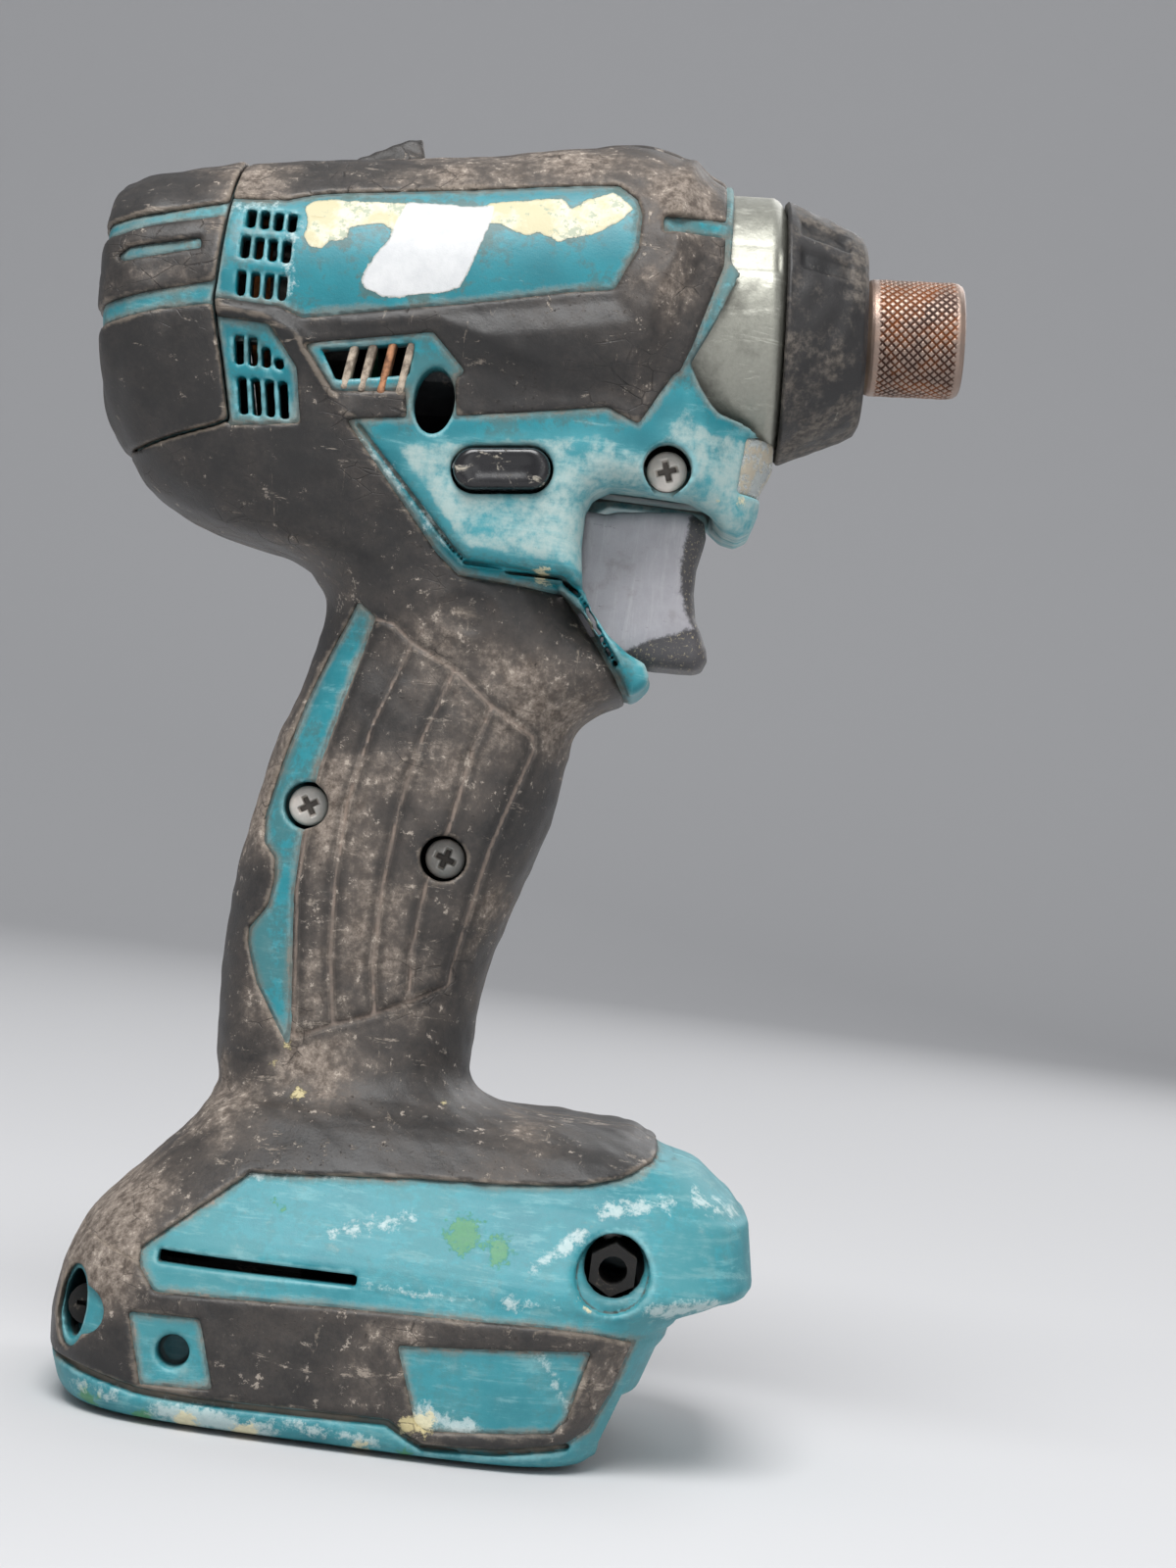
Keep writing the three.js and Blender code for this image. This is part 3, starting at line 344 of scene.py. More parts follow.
def blocked(low, high):
    """Distance from a block between two corners, on the right half."""
    middle = [(a + b) / 2 for a, b in zip(low, high)]
    reach = [
        np.abs(c - m) - (b - a) / 2 for c, m, a, b in zip((X, Y, Z), middle, low, high)
    ]
    return np.maximum(np.maximum(reach[0], reach[1]), reach[2])


def cut(field, tool, depth, rounding):
    """Takes a side-view shape out of a field, down to a depth under the outer form."""
    return smooth_max(field, -np.maximum(tool, -(FORM + depth)), rounding)


INNER_WALL_DEPTH, FOOT_FLOOR_TOP = 4.6, 14
CASE_BORE_R, CASE_BORE_START = 20.6, 12
SCREW_RECESS_R = 3.45
SCREWS = {  # x, z, and y of the head's top
    "trigger_screw": (27.9, 140.4, -16.4),
    "grip_front_screw": (3.5, 81.5, -10.5),
    "grip_rear_screw": (-16.9, 86.5, -11.5),
    "foot_screw": (-36.6, 13.9, -26.0),
}
DRESSED_SCREWS = list(SCREWS.items())[:3]  # the foot screw stays as the CAD has it
LEVER_MIDDLE = (4.8, 136.9)
LEVER_TILT = 0.13
VENT_PITCH, VENT_WIDTH = 1.95, 1.3
slots = []
for row_low, row_high, first in (
    (166.0, 168.8, -35.4), (161.4, 164.7, -35.5), (156.0, 159.6, -35.3),
):
    for k in range(4):
        x = first + VENT_PITCH * k
        slots.append(outline_distance(
            ((x, row_low), (x + VENT_WIDTH, row_low), (x + 1.1, row_high), (x - 0.2, row_high)), X, Z
        ))
for row_low, row_high, first, shear in ((146.6, 150.6, -34.3, -0.5), (139.9, 145.1, -32.9, -0.9)):
    for k in range(4):
        x = first + VENT_PITCH * k
        top = min(row_high, row_high - 1.35 * (k - 1.2)) if row_low > 145 else row_high
        if top > row_low + 0.6:
            slots.append(outline_distance(
                ((x, row_low), (x + VENT_WIDTH, row_low), (x + VENT_WIDTH + shear, top),
                 (x + shear, top)),
                X, Z,
            ))
vent_slots = np.minimum.reduce(slots)
INLET = ((-22.4, 150.2), (-9.6, 152.7), (-9.8, 148.2), (-19.9, 146.2))
inlet = outline_distance(INLET, X, Z)
lamp_bay = outline_distance(((38.2, 139), (45, 139), (45, 147.4), (38.6, 147)), X, Z)
lever_line = line_distance(((1.0, 136.4), (8.6, 137.4)), X, Z)
shoulder = outline_distance(FOOT_SHOULDER, X, Z)
inner_panels = np.minimum(
    outline_distance(FOOT_WINDOW, X, Z), outline_distance(FOOT_SQUARE, X, Z)
)
rear_oval = np.hypot((X + 38.2) / 0.42, Z - 14.0) - 5.6
under_band = line_distance(
    ((-43, 7.6), (-36.1, 6.0), (-27.1, 4.6), (-18.1, 4.4), (7, 5), (9.8, 3.5), (12.3, 2.3),
     (22, 2.7), (31.6, 4.1)), X, Z
)
shadow_line = line_distance(
    ((-16, 140.4), (-0.9, 125.4), (1.3, 123.6), (15.2, 123.1), (17.9, 121.2), (24.3, 112.4)), X, Z
)
foot_groove = line_distance(((0.5, 22.2), (27, 22.3), (33.3, 22), (38.6, 21.7), (41, 21)), X, Z)
ridge_line = line_distance(
    ((-37, 154), (-31, 153.6), (-26.2, 151.6), (-21.4, 145.4), (-17.2, 141.2)), X, Z
)
oval_hole = np.hypot((X + 5.9) / 0.62, Z - 145.2) - 4.6
hook_slot = outline_distance(((-27, 22), (-27, 23.7), (0.4, 24), (0.4, 22.5)), X, Z)
battery_slot = blocked((-33, -26, -9), (70, 26, 11))
trigger_pocket = np.minimum(
    blocked((-6, -8.8, 112.4), (35.2, 8.8, 138)), blocked((-6, -8.8, 112.4), (70, 8.8, 131)),
)


def gentle(value, sharpness):
    """1 well inside a field and 0 well outside it."""
    return 1 / (1 + np.exp(np.clip(value * sharpness, -30, 30)))


def shell_field(side):
    """The nylon half shell, drawn as if it were the right one."""
    drop = 0.65 + 0.75 / (1 + np.exp(-(bare - 0.5) * 5))
    shell = FORM + drop + 0.75 * gentle(shoulder, 2.5) + 0.35 * gentle(inner_panels, 3.0)
    for tool, depth, rounding in (
        (lever_line - 3.4, 30, 0.5), (vent_slots, 5.5, 0.2), (inlet, 5.5, 0.4), (oval_hole, 9, 0.5),
        (shadow_line - 0.3, 1.3, 0.3), (foot_groove - 0.3, 1.4, 0.3), (hook_slot, 9, 0.3),
        (bored(34.9, 29.2, 4.1), 14, 0.5), (bored(34.8, 28.0, 5.0), 3.0, 1.2),
        (bored(-23.1, 10.6, 2.3), 5.5, 0.8), (rear_oval + 0.9, 4.2, 0.5),
        (under_band - 0.45, 1.9, 0.5),
    ):
        shell = cut(shell, tool, depth, rounding)
    if side == "right":
        for _, (x, z, head_y) in DRESSED_SCREWS:
            recess = np.maximum(bored(x, z, SCREW_RECESS_R), Y - (head_y + 2.4))
            shell = smooth_max(shell, -recess, 0.4)
    hollow = np.maximum(FORM + INNER_WALL_DEPTH, FOOT_FLOOR_TOP - Z)
    shell = np.maximum(shell, -hollow)
    shell = smooth_max(shell, -trigger_pocket, 0.8)
    shell = smooth_max(shell, -battery_slot, 0.8)
    rails = smooth_max(blocked((-33.5, -27, 1.5), (36, -20.5, 4.6)), FORM + 0.8, 0.5)
    shell = np.minimum(shell, rails)
    shell = np.maximum(shell, -blocked((-30.6, -12.6, 6), (-8, 12.6, 21)))
    case_bore = np.maximum(np.hypot(Y, V) - CASE_BORE_R, CASE_BORE_START - U)
    shell = np.maximum(shell, -case_bore)
    shell = smooth_max(shell, -lamp_bay, 0.5)
    shell = smooth_max(shell, -case_window, 0.6)
    shell = smooth_max(shell, -(rear_cover_zone - 0.16), 0.5)
    return np.maximum(shell, Y + 0.1)


def curvature(field, step=STEP):
    """How convex the surface is at each place: positive on edges, negative in corners."""
    reach = max(1, round(0.9 / step))
    total = -6 * field
    for k in range(3):
        total = total + np.roll(field, reach, axis=k) + np.roll(field, -reach, axis=k)
    return total / (reach * step) ** 2


def read_at(field, points, low=GRID_LOW, step=STEP):
    """A field's value at each point, between its grid values."""
    place = (points - low) / step
    if field.shape[1] == 1:
        place[:, 1] = 0
    top = np.maximum(np.array(field.shape) - 2, 0)
    cell = np.clip(np.floor(place).astype(int), 0, top)
    part = np.clip(place - cell, 0, 1)
    value = 0.0
    for corner in np.ndindex(2, 1 if field.shape[1] == 1 else 2, 2):
        weight = np.prod(np.where(corner, part, 1 - part), axis=1)
        i, j, k = (cell + corner).T
        value = value + weight * field[i, j, k]
    return value


def mesh_object(name, points, polygons, marks=None):
    """A smooth mesh from millimetre points, with one named number for each point in marks."""
    mesh = bpy.data.meshes.new(name)
    mesh.from_pydata((np.asarray(points) * 0.001 + FOOT_MIDDLE).tolist(), [], polygons)
    mesh.shade_smooth()
    for mark, values in (marks or {}).items():
        layer = mesh.attributes.new(mark, "FLOAT", "POINT")
        layer.data.foreach_set("value", np.ascontiguousarray(values, np.float32))
    piece = bpy.data.objects.new(name, mesh)
    bpy.context.scene.collection.objects.link(piece)
    return piece


def skin(name, field, marks=None, side="right", low=GRID_LOW, step=STEP):
    """The surface where a field is zero. A left piece is mirrored, and a whole one is both."""
    flat = np.clip(field, -3 * step, 3 * step).astype(np.float32)
    if side == "whole":
        flat = flat[:, : MIDDLE_ROW + 1]
        flat = np.concatenate([flat, flat[:, -2::-1]], axis=1)
    grid = openvdb.FloatGrid(3 * step)
    grid.copyFromArray(np.ascontiguousarray(flat))
    points, triangles, quads = grid.convertToPolygons(isovalue=0.0, adaptivity=0.0)
    points = points.astype(float) * step + low
    halved = points * (1, 1, 1)
    halved[:, 1] = -np.abs(points[:, 1]) if side == "whole" else points[:, 1]
    values = marks(halved) if marks else {}
    if side == "left":
        points = points * (1, -1, 1)
    first, second, third = (points[quads[:, k]] for k in range(3))
    turn = np.cross(second - first, third - first)
    volume = np.einsum("ij,ij->", turn, first - points.mean(0))
    if volume < 0:
        quads, triangles = quads[:, ::-1], triangles[:, ::-1]
    return mesh_object(name, points, quads.tolist() + triangles.tolist(), values)


def finished(piece, finish, body, *stands_for, slot=None):
    """Puts a piece on its body with its material, in place of the CAD nodes named."""
    piece.data.materials.clear()
    piece.data.materials.append(finish.material)
    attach(piece, body)
    if stands_for:
        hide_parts(*stands_for)


class Wire:
    """A socket that can be used in arithmetic, which adds Math nodes."""

    def __init__(self, finish, socket):
        self.finish, self.socket = finish, socket

    def math(self, operation, *terms, clamp=False):
        settings = {"operation": operation, "use_clamp": clamp}
        return self.finish.node("Math", settings, dict(enumerate(terms)))

    def __add__(self, other):
        return self.math("ADD", self, other)

    def __sub__(self, other):
        return self.math("SUBTRACT", self, other)

    def __rsub__(self, other):
        return self.math("SUBTRACT", other, self)

    def __mul__(self, other):
        return self.math("MULTIPLY", self, other)

    __radd__, __rmul__ = __add__, __mul__

    def clamped(self):
        return self.math("ADD", self, 0.0, clamp=True)

    def above(self, low, high):
        """0 below low, 1 above high, and smooth between."""
        sockets = {"Value": self, "From Min": low, "From Max": high}
        return self.finish.node("MapRange", {"interpolation_type": "SMOOTHSTEP"}, sockets)

    def below(self, low, high):
        return 1 - self.above(low, high)


def tint(code):
    """A colour from its six-digit display code, as a linear tuple."""
    parts = [int(code[k : k + 2], 16) / 255 for k in (0, 2, 4)]
    return (*[c / 12.92 if c <= 0.04045 else ((c + 0.055) / 1.055) ** 2.4 for c in parts], 1)


class Finish:
    """A material, and the one way to add a node to it."""

    def __init__(self, name, **constants):
        self.material = bpy.data.materials.new(name)
        self.material.use_nodes = True
        self.tree = self.material.node_tree
        self.shader = self.tree.nodes["Principled BSDF"]
        for socket, value in constants.items():
            self.shader.inputs[socket.replace("_", " ")].default_value = value
        self.place = self.node("TexCoord", out="Object")

    def node(self, kind, settings=None, sockets=None, out=0):
        made = self.tree.nodes.new("ShaderNode" + kind)
        for setting, value in (settings or {}).items():
            setattr(made, setting, value)
        for socket, value in (sockets or {}).items():
            self.feed(made.inputs[socket], value)
        return Wire(self, made.outputs[out])

    def feed(self, socket, value):
        if isinstance(value, Wire):
            self.tree.links.new(value.socket, socket)
        else:
            socket.default_value = tint(value) if isinstance(value, str) else value

    def mark(self, name):
        return self.node("Attribute", {"attribute_name": name}, out="Fac")

    def stretched(self, scale):
        sockets = {0: self.place, 1: scale}
        return self.node("VectorMath", {"operation": "MULTIPLY"}, sockets, out="Vector")

    def noise(self, scale, detail=4.0, rough=0.6, stretch=(1, 1, 1), twist=0.0):
        """Noise with scale waves to the metre."""
        sockets = {
            "Vector": self.stretched(stretch), "Scale": scale, "Detail": detail,
            "Roughness": rough, "Distortion": twist,
        }
        return self.node("TexNoise", None, sockets, out="Fac")

    def mix(self, share, first, second):
        """Mixes two colours; sockets 6 and 7 are the Mix node's colours."""
        return self.node("Mix", {"data_type": "RGBA"}, {0: share, 6: first, 7: second}, out=2)

    def over(self, share, colour):
        """Lays a colour over the finish's own."""
        self.colour = self.mix(share, self.colour, colour)

    def bump(self, height, strength, distance):
        return self.node(
            "Bump", None, {"Height": height, "Strength": strength, "Distance": distance}
        )

    def wear(self, roughness, normal, **others):
        """Joins the finish's colour and the rest to its shader."""
        inputs = {"Base Color": self.colour, "Roughness": roughness, "Normal": normal, **others}
        for socket, value in inputs.items():
            self.feed(self.shader.inputs[socket], value)


# Marks read from the fields: how convex a place is, how far it is from the edge of a panel,
# from a rib or groove, from the label's remains, and from dabs of spilt paint.
LABEL_LEFT = (
    (-27.6, 170.2), (-26.6, 167.6), (-27, 165.5), (-26, 164.1), (-24.3, 164.1), (-23.3, 165.2),
    (-21.1, 165.6), (-20.5, 166.7), (-21, 167.6), (-18.6, 168.4), (-16.3, 169), (-15.2, 168.2),
    (-13.7, 168.4), (-11.6, 172.4), (-14.6, 172.6), (-24, 171.8), (-26.6, 171.2),
)
LABEL_MIDDLE = (
    (-13.4, 172.8), (-15.2, 166.4), (-16.9, 163.7), (-18.2, 160.6), (-17.6, 159), (-14.6, 158.3),
    (-12.1, 158.7), (-6, 160.2), (-4.1, 161.2), (-3.1, 164.4), (-1.4, 169.9), (-1.2, 173.6),
)
LABEL_RIGHT = (
    (-2, 174), (-1.9, 170.8), (-0.3, 171), (1.8, 170.3), (4.2, 169.8), (5.7, 170.5), (8.5, 169.4),
    (10.6, 170.1), (14, 171.6), (17, 173.9), (18.4, 175.8), (15.6, 178.2), (11.4, 176.2),
    (9.8, 174.6), (8.3, 176.3), (3.4, 175.2),
)
GRIP_PANEL = (
    (-10.9, 114.2), (-8, 113.8), (-4.9, 111.4), (2, 108.1), (7.1, 104.2), (13.8, 100.5),
    (14.1, 98.4), (12.1, 91.7), (9.8, 83.6), (7.9, 73.5), (6.6, 66.3), (6.5, 63.5), (1.4, 60.6),
    (-3.2, 58.3), (-8.8, 56.1), (-14.2, 53.6), (-16.6, 75), (-15.9, 91.6), (-13.5, 102.2),
)
GRIP_RIBS = (
    ((-5.1, 110.8), (-8.9, 99.2), (-11, 87.7), (-11.3, 76.6), (-10.5, 65.5), (-8.9, 56.4)),
    ((1.4, 107.6), (-1.7, 97.8), (-3.6, 87.8), (-4.5, 76.5), (-4.4, 65.3), (-3.3, 58.5)),
    ((7.4, 103.6), (5.7, 97.4), (3.9, 86.4), (1.6, 77.3), (0.8, 68.3), (1.3, 60.9)),
)
THUMB_DENT = (2.4, 116.6)
CREAM_DABS = (
    (12.3, 123.2, 1.6), (20, 117.6, 1.4), (8.2, 46.8, 1.0), (-12.4, 46.1, 1.5), (-16.1, 49.6, 1.2),
    (12, 5.8, 2.2), (10.1, 5.2, 2.0), (35.5, 137.2, 0.9), (39.3, 137.7, 1.3), (-15, 52.5, 1.0),
    (31.2, 25.4, 1.5), (32.4, 23.6, 1.3), (-20, 1.4, 2.2), (-12, 0.6, 2.6), (4, 0.8, 1.8),
    (16.5, 14.0, 0.6),
)
GREEN_DABS = (
    (-12.8, 31.6, 1.3), (-11, 31.4, 1.0), (14, 31, 3.2), (19, 29.6, 2.6), (-34, 2.4, 2.4),
    (-26, 0.8, 2.6), (10, 0.2, 2.0),
)
WHITE_SMEARS = (
    (((-36, 3.8), (-30, 3.4)), 1.1), (((-24, 2.6), (-9, 1.2)), 2.1), (((-8, 3.4), (6, 2.2)), 1.0),
    (((11.5, 6.8), (18.2, 6.0)), 1.7), (((41, 24), (49, 25)), 1.5), (((-27.6, 34), (-4, 36.2)), 0.5),
    (((33, 36), (42, 38.6)), 1.2), (((45, 39), (51, 37)), 1.2), (((24, 28), (30, 33)), 1.0),
    (((-4, 29), (6, 32)), 1.0), (((2, 22.8), (28, 23.2)), 0.6), (((26, 17), (31, 10)), 0.8),
    (((-18, 141), (-2, 126)), 0.7), (((-29, 168), (-28, 157)), 1.0), (((-38, 169), (-32, 170)), 0.9),
)
ribs = np.minimum.reduce([line_distance(rib, X, Z) for rib in GRIP_RIBS])
grip_panel = outline_distance(GRIP_PANEL, X, Z)
grip_lines = np.minimum(np.maximum(ribs, grip_panel), np.abs(grip_panel))
label_left, label_middle, label_right = (
    outline_distance(part, X, Z) for part in (LABEL_LEFT, LABEL_MIDDLE, LABEL_RIGHT)
)
label = np.minimum.reduce([label_left, label_middle, label_right])
cream = np.minimum.reduce([np.hypot(X - x, Z - z) - r for x, z, r in CREAM_DABS])
white = np.minimum.reduce([line_distance(line, X, Z) - r for line, r in WHITE_SMEARS])
green = np.minimum.reduce([np.hypot(X - x, Z - z) - r for x, z, r in GREEN_DABS])
seam = np.minimum.reduce([np.abs(bare), np.abs(case_window), np.abs(rear_cover_zone)])
inside_trigger_panel = -outline_distance(TRIGGER_PANEL, X, Z)
fade = np.where(
    inside_trigger_panel > 0,
    np.clip(inside_trigger_panel / 4.0, 0, 1) * 0.9,
    np.where(Z < 45, 0.72, np.where(Z < 120, 0.55, 0.22)),
)
DUST = (  # x, z, reach, how much
    (-14, 88, 9, 1), (-6, 72, 10, 0.8), (4, 92, 8, 0.7), (-18, 60, 6, 0.5), (12, 76, 6, 0.7),
    (8, 108, 9, 0.6), (-4, 112, 7, 0.5), (-36, 28, 9, 1.3), (-38, 18, 7, 0.9), (-22, 42, 8, 0.7),
    (20, 43, 8, 0.5), (14, 62, 4, 0.7), (-36, 172, 6, 0.8), (-8, 181, 10, 0.5), (10, 181, 12, 0.7),
    (-20, 118, 6, 0.4), (2, 16, 16, 0.4), (36, 14, 8, 0.5), (24, 176, 6, 0.6), (-10, 49, 5, 0.9),
    (18, 104, 8, 0.7), (-26, 104, 8, 0.7), (-24, 84, 8, 0.6), (-4, 56, 10, 0.4),
    (24, 164, 6, 0.5), (26, 182, 6, 0.7),
)


def settled_dust(points):
    """How thick the dust lies at each point, from 0."""
    amount = np.zeros(len(points))
    for x, z, reach, much in DUST:
        amount += much * np.exp(-((points[:, 0] - x) ** 2 + (points[:, 2] - z) ** 2) / reach**2)
    return amount


def marks_on(field, sided=True, low=GRID_LOW):
    convex = curvature(field)

    def marks(points):
        far = np.full(len(points), 9.0)
        found = {
            "edge": np.clip(read_at(convex, points, low), -2.5, 2.5),
            "seam": read_at(seam, points),
            "groove": read_at(grip_lines, points),
            "fade": read_at(fade, points),
            "depth": read_at(FORM, points),
            "dust": settled_dust(points),
        }
        outer = read_at(FORM, points) > -2.0
        for name, shape in (
            ("label", label), ("pale", label_middle), ("cream", cream), ("green", green),
            ("white", white),
        ):
            found[name] = np.where(outer, read_at(shape, points), 9) if sided else far
        return found

    return marks


teal_nylon = Finish("teal_nylon", IOR=1.5)
t = teal_nylon
edge, seam_mark, label_mark = t.mark("edge"), t.mark("seam"), t.mark("label")
broad, mid, fine = t.noise(45, 3), t.noise(240, 5, 0.65), t.noise(1500, 5, 0.7)
grain = t.noise(4200, 3, 0.7)
crumb = t.noise(650, 5, 0.75)
scrape = t.noise(90, 6, 0.75, (1, 1, 7), 0.4)
scrape_down = t.noise(110, 6, 0.75, (6, 1, 1.2), 0.6)
worn = (t.mark("fade") * 0.7 + broad * 0.7 + mid * 0.6 + scrape * 0.3).above(0.95, 1.6)
t.colour = t.mix(broad.above(0.35, 0.65), "0B6873", "17838F")
t.over(worn * 0.75, "4F98A0")
chalk = (scrape + mid * 0.4 + t.mark("fade") * 0.22).above(0.86, 1.02)
t.over(chalk * 0.3, "8FBABC")
powder = (t.mark("fade") + mid * 0.5 + crumb * 0.35).above(1.2, 1.42)
t.over(powder * 0.66, "B4BDB6")
rubbed = (edge * 0.42 + mid * 0.9 + scrape_down * 0.5).above(0.98, 1.35)
t.over(rubbed * 0.7, "74AAB0")
scuff = (scrape_down + fine * 0.25).above(0.86, 0.93) * t.mark("fade").above(0.3, 0.7)
t.over(scuff * 0.7, "D5D8D2")
specks = fine.above(0.66, 0.74) * mid.above(0.5, 0.62)
t.over(specks * 0.7, "3B4B45")
sunk = (edge * -0.55 + mid * 0.9).above(0.75, 1.25)
t.over(sunk * 0.8, "4F4338")
film = (seam_mark * -0.75 + mid * 1.6 + fine * 0.5).above(0.2, 0.95)
t.over(film * 0.42, "8F7F70")
rust = (seam_mark * -0.9 + mid * 1.4 + crumb * 1.2).above(1.0, 1.25)
t.over(rust * broad.above(0.4, 0.6) * 0.4, "B98A70")
# Painted shadow: a near-black line along every seam where the rubber meets the nylon.
seam_shadow_and_groove_dust = (seam_mark + mid * 0.3).below(0.3, 0.5)
t.over(seam_shadow_and_groove_dust * 0.55, "1D2626")
residue = (t.mark("label") * -0.16 + mid * 1.1 + crumb * 0.9).above(0.92, 1.02)
residue = residue * t.mark("fade").below(0.2, 0.5)
t.over(residue * 0.6, "46635F")
grime = (broad + crumb * 0.6 + mid * 0.4).above(0.98, 1.12) * t.mark("fade").below(0.5, 0.9)
t.over(grime * 0.55, "3F5552")
green_dab = (t.mark("green") + crumb * 7 + mid * 2).below(3.2, 3.9)
t.over(green_dab * 0.75, t.mix(fine, "2E6B45", "5C9A4E"))
white_dab = (t.mark("white") + crumb * 6 + mid * 4 + fine * 1.5).below(4.2, 5.6)
t.over(white_dab * 0.62, t.mix(fine, "A9BBBA", "E2E6E2"))
cream_dab = (t.mark("cream") + crumb * 5 + fine * 1.0).below(1.9, 2.5)
t.over(cream_dab * 0.9, t.mix(fine, "B5AC8C", "E9E2BD"))
paper = (label_mark + mid * 1.1 + crumb * 0.9).below(0.92, 1.02)
cream_paper = t.mix(mid.above(0.42, 0.62), "BEB692", "D6D0B8")
cream_paper = t.mix((crumb + mid * 0.5).above(0.8, 0.86) * 0.75, cream_paper, "8C9A86")
white_paper = t.mix(mid, "A8ABAE", "DADAD9")
on_white = (t.mark("pale") + mid).below(0.4, 0.7)
paper_colour = t.mix(on_white, cream_paper, white_paper)
paper_colour = t.mix(scrape.above(0.6, 0.74) * 0.4, paper_colour, "B39A72")
# Painted shadow: a grey-green band along the label's edges stands in for the shade under lifted paper.
label_edge_shadow = paper * (label_mark + mid * 1.1 + crumb * 0.9).above(0.62, 0.95)
paper_colour = t.mix(label_edge_shadow * 0.55, paper_colour, "7F8478")
# Painted shade: places more than about 2.4 mm inside the outer form (walls of holes, slots and the
# hollow) are darkened to near-black teal.
hole_painted_shade = t.mark("depth").below(-4.5, -2.4)
t.over(paper, paper_colour)
t.over(hole_painted_shade * 0.72, "10242A")
roughness = (0.36 + worn * 0.16 + film * 0.3 + sunk * 0.25 + fine * 0.12 + paper * 0.1).clamped()
height = fine * 0.22 + grain * 0.16 + paper * 0.9 + cream_dab * 0.6 + film * fine * 0.5
height = height + white_dab * 0.3 + green_dab * 0.2
height = height - scrape.above(0.62, 0.72) * 0.25
t.wear(roughness, t.bump(height, 0.55, 0.00022))

for side in ("right", "left"):
    half = shell_field(side)
    finished(
        skin(f"nylon_half_{side}", half, marks_on(half, side == "right"), side),
        teal_nylon, "body", f"housing_{side}", f"foot_{side}", slot="nylon",
    )

# ---- Elastomer ----------------------------------------------------------------------------
# A soft skin, about 1.5 mm thick, moulded over each half in one shot and gone hard and cracked
# with use. It carries the ribs on the grip, the armour along the barrel and the band round the
# foot.
FOOT_SPLIT = ((-60, 30), (-29, 21.6), (70, 19.9), (70, -10), (-60, -10))
ARMOUR = (
    (-20.6, 154.6), (-9.4, 157.2), (-4, 157.6), (5.8, 159.6), (11.8, 161), (17.8, 162.4),
    (21.6, 170.6), (21.4, 177.2), (26, 190), (27.6, 190), (28.6, 170), (25.9, 157.6), (24.6, 153),
    (22.9, 148.2), (18.4, 150), (10, 148.3), (-1.9, 151), (-6.9, 155.4), (-20.8, 152.6),
)
RUBBER_DEPTH = 1.75
ARMOUR_BEVEL, ARMOUR_PROUD = 3.8, 1.7
armour = outline_distance(ARMOUR, X, Z)


def rubber_field():
    bevel = smooth_min(smooth_max(-armour / ARMOUR_BEVEL, 0, 0.15), 1, 0.15)
    form = FORM + 0.3 - ARMOUR_PROUD * bevel
    form = form - 0.95 * np.exp(-((ridge_line / 1.15) ** 2))
    form = form - 0.35 * gentle(grip_panel, 4.0) + 0.5 * np.exp(-((grip_lines / 0.33) ** 2))
    dent = np.hypot((X - THUMB_DENT[0]) / 1.45, Z - THUMB_DENT[1]) - 3.3
    form = form + 0.5 * gentle(dent, 2.2) - 0.35 * np.exp(-((dent / 0.9) ** 2))
    form = form + 0.5 * np.exp(-(((np.abs(Y) - 9.5) / 0.5) ** 2)) * gentle(-(V - 16), 2)
    form = form + 0.1 * ripple(X, Y, Z, 14.0, 7) + 0.07 * ripple(X, Y, Z, 4.0, 8)
    rubber = smooth_max(form, -(bare - 0.12), 0.9)
    rubber = np.maximum(rubber, -(FORM + RUBBER_DEPTH))
    for x, z, head_y in SCREWS.values():
        rubber = smooth_max(rubber, -np.maximum(bored(x, z, 3.25), Y + 5), 0.5)
    rubber = cut(rubber, vent_slots - 0.4, 9, 0.3)
    rubber = smooth_max(rubber, -battery_slot, 0.5)
    rubber = smooth_max(rubber, -rear_oval, 0.5)
    rubber = np.maximum(rubber, -trigger_pocket)
    rubber = smooth_max(rubber, -(case_window - 0.1), 0.7)
    rubber = smooth_max(rubber, -(rear_cover_zone - 0.2), 0.5)
    return np.maximum(rubber, Y + 0.06)


worn_rubber = Finish("worn_rubber", IOR=1.48)
r = worn_rubber
edge, seam_mark, groove = r.mark("edge"), r.mark("seam"), r.mark("groove")
broad, mid, fine = r.noise(34, 4, 0.6, (1, 1, 1), 0.6), r.noise(190, 6, 0.7), r.noise(1300, 6, 0.75)
streak = r.noise(70, 6, 0.75, (1, 1, 5), 0.5)
streak_down = r.noise(80, 6, 0.75, (5, 1, 1), 0.6)
speck = r.noise(620, 5, 0.75)
settled = r.mark("dust")
dusty = (settled * 0.5 + broad * 1.3 + mid * 0.8 + speck * 0.4).above(1.42, 1.82)
r.colour = r.mix(mid, "161515", "302E2D")
thin_dust = (settled * 0.5 + broad * 0.7 + mid * 0.6 + fine * 0.4).above(0.75, 1.35)
r.over(thin_dust * 0.6, "625850")
r.over(dusty * 0.68, r.mix(speck.above(0.35, 0.65), "51463D", "A3968A"))
rubbed = (edge * 0.34 + streak * 0.9 + speck * 0.4).above(0.98, 1.2)
r.over(rubbed * 0.5, "85796C")
scratch = streak.above(0.61, 0.65) * speck.above(0.4, 0.55)
r.over(scratch * 0.6, "A3978A")
scratch_down = streak_down.above(0.64, 0.68) * speck.above(0.4, 0.55)
r.over(scratch_down * 0.5, "94887A")
grit = speck.above(0.6, 0.64) * (mid + settled * 0.3).above(0.5, 0.62)
r.over(grit * 0.55, "BBAFA2")
pores = fine.above(0.6, 0.66) * mid.above(0.48, 0.6)
r.over(pores * 0.6, "100F0F")
# Painted shadow: a near-black band beside each grip line.
grip_line_shadow = groove.above(0.5, 0.7) * groove.below(1.0, 1.9)
r.over(grip_line_shadow * 0.45, "141211")
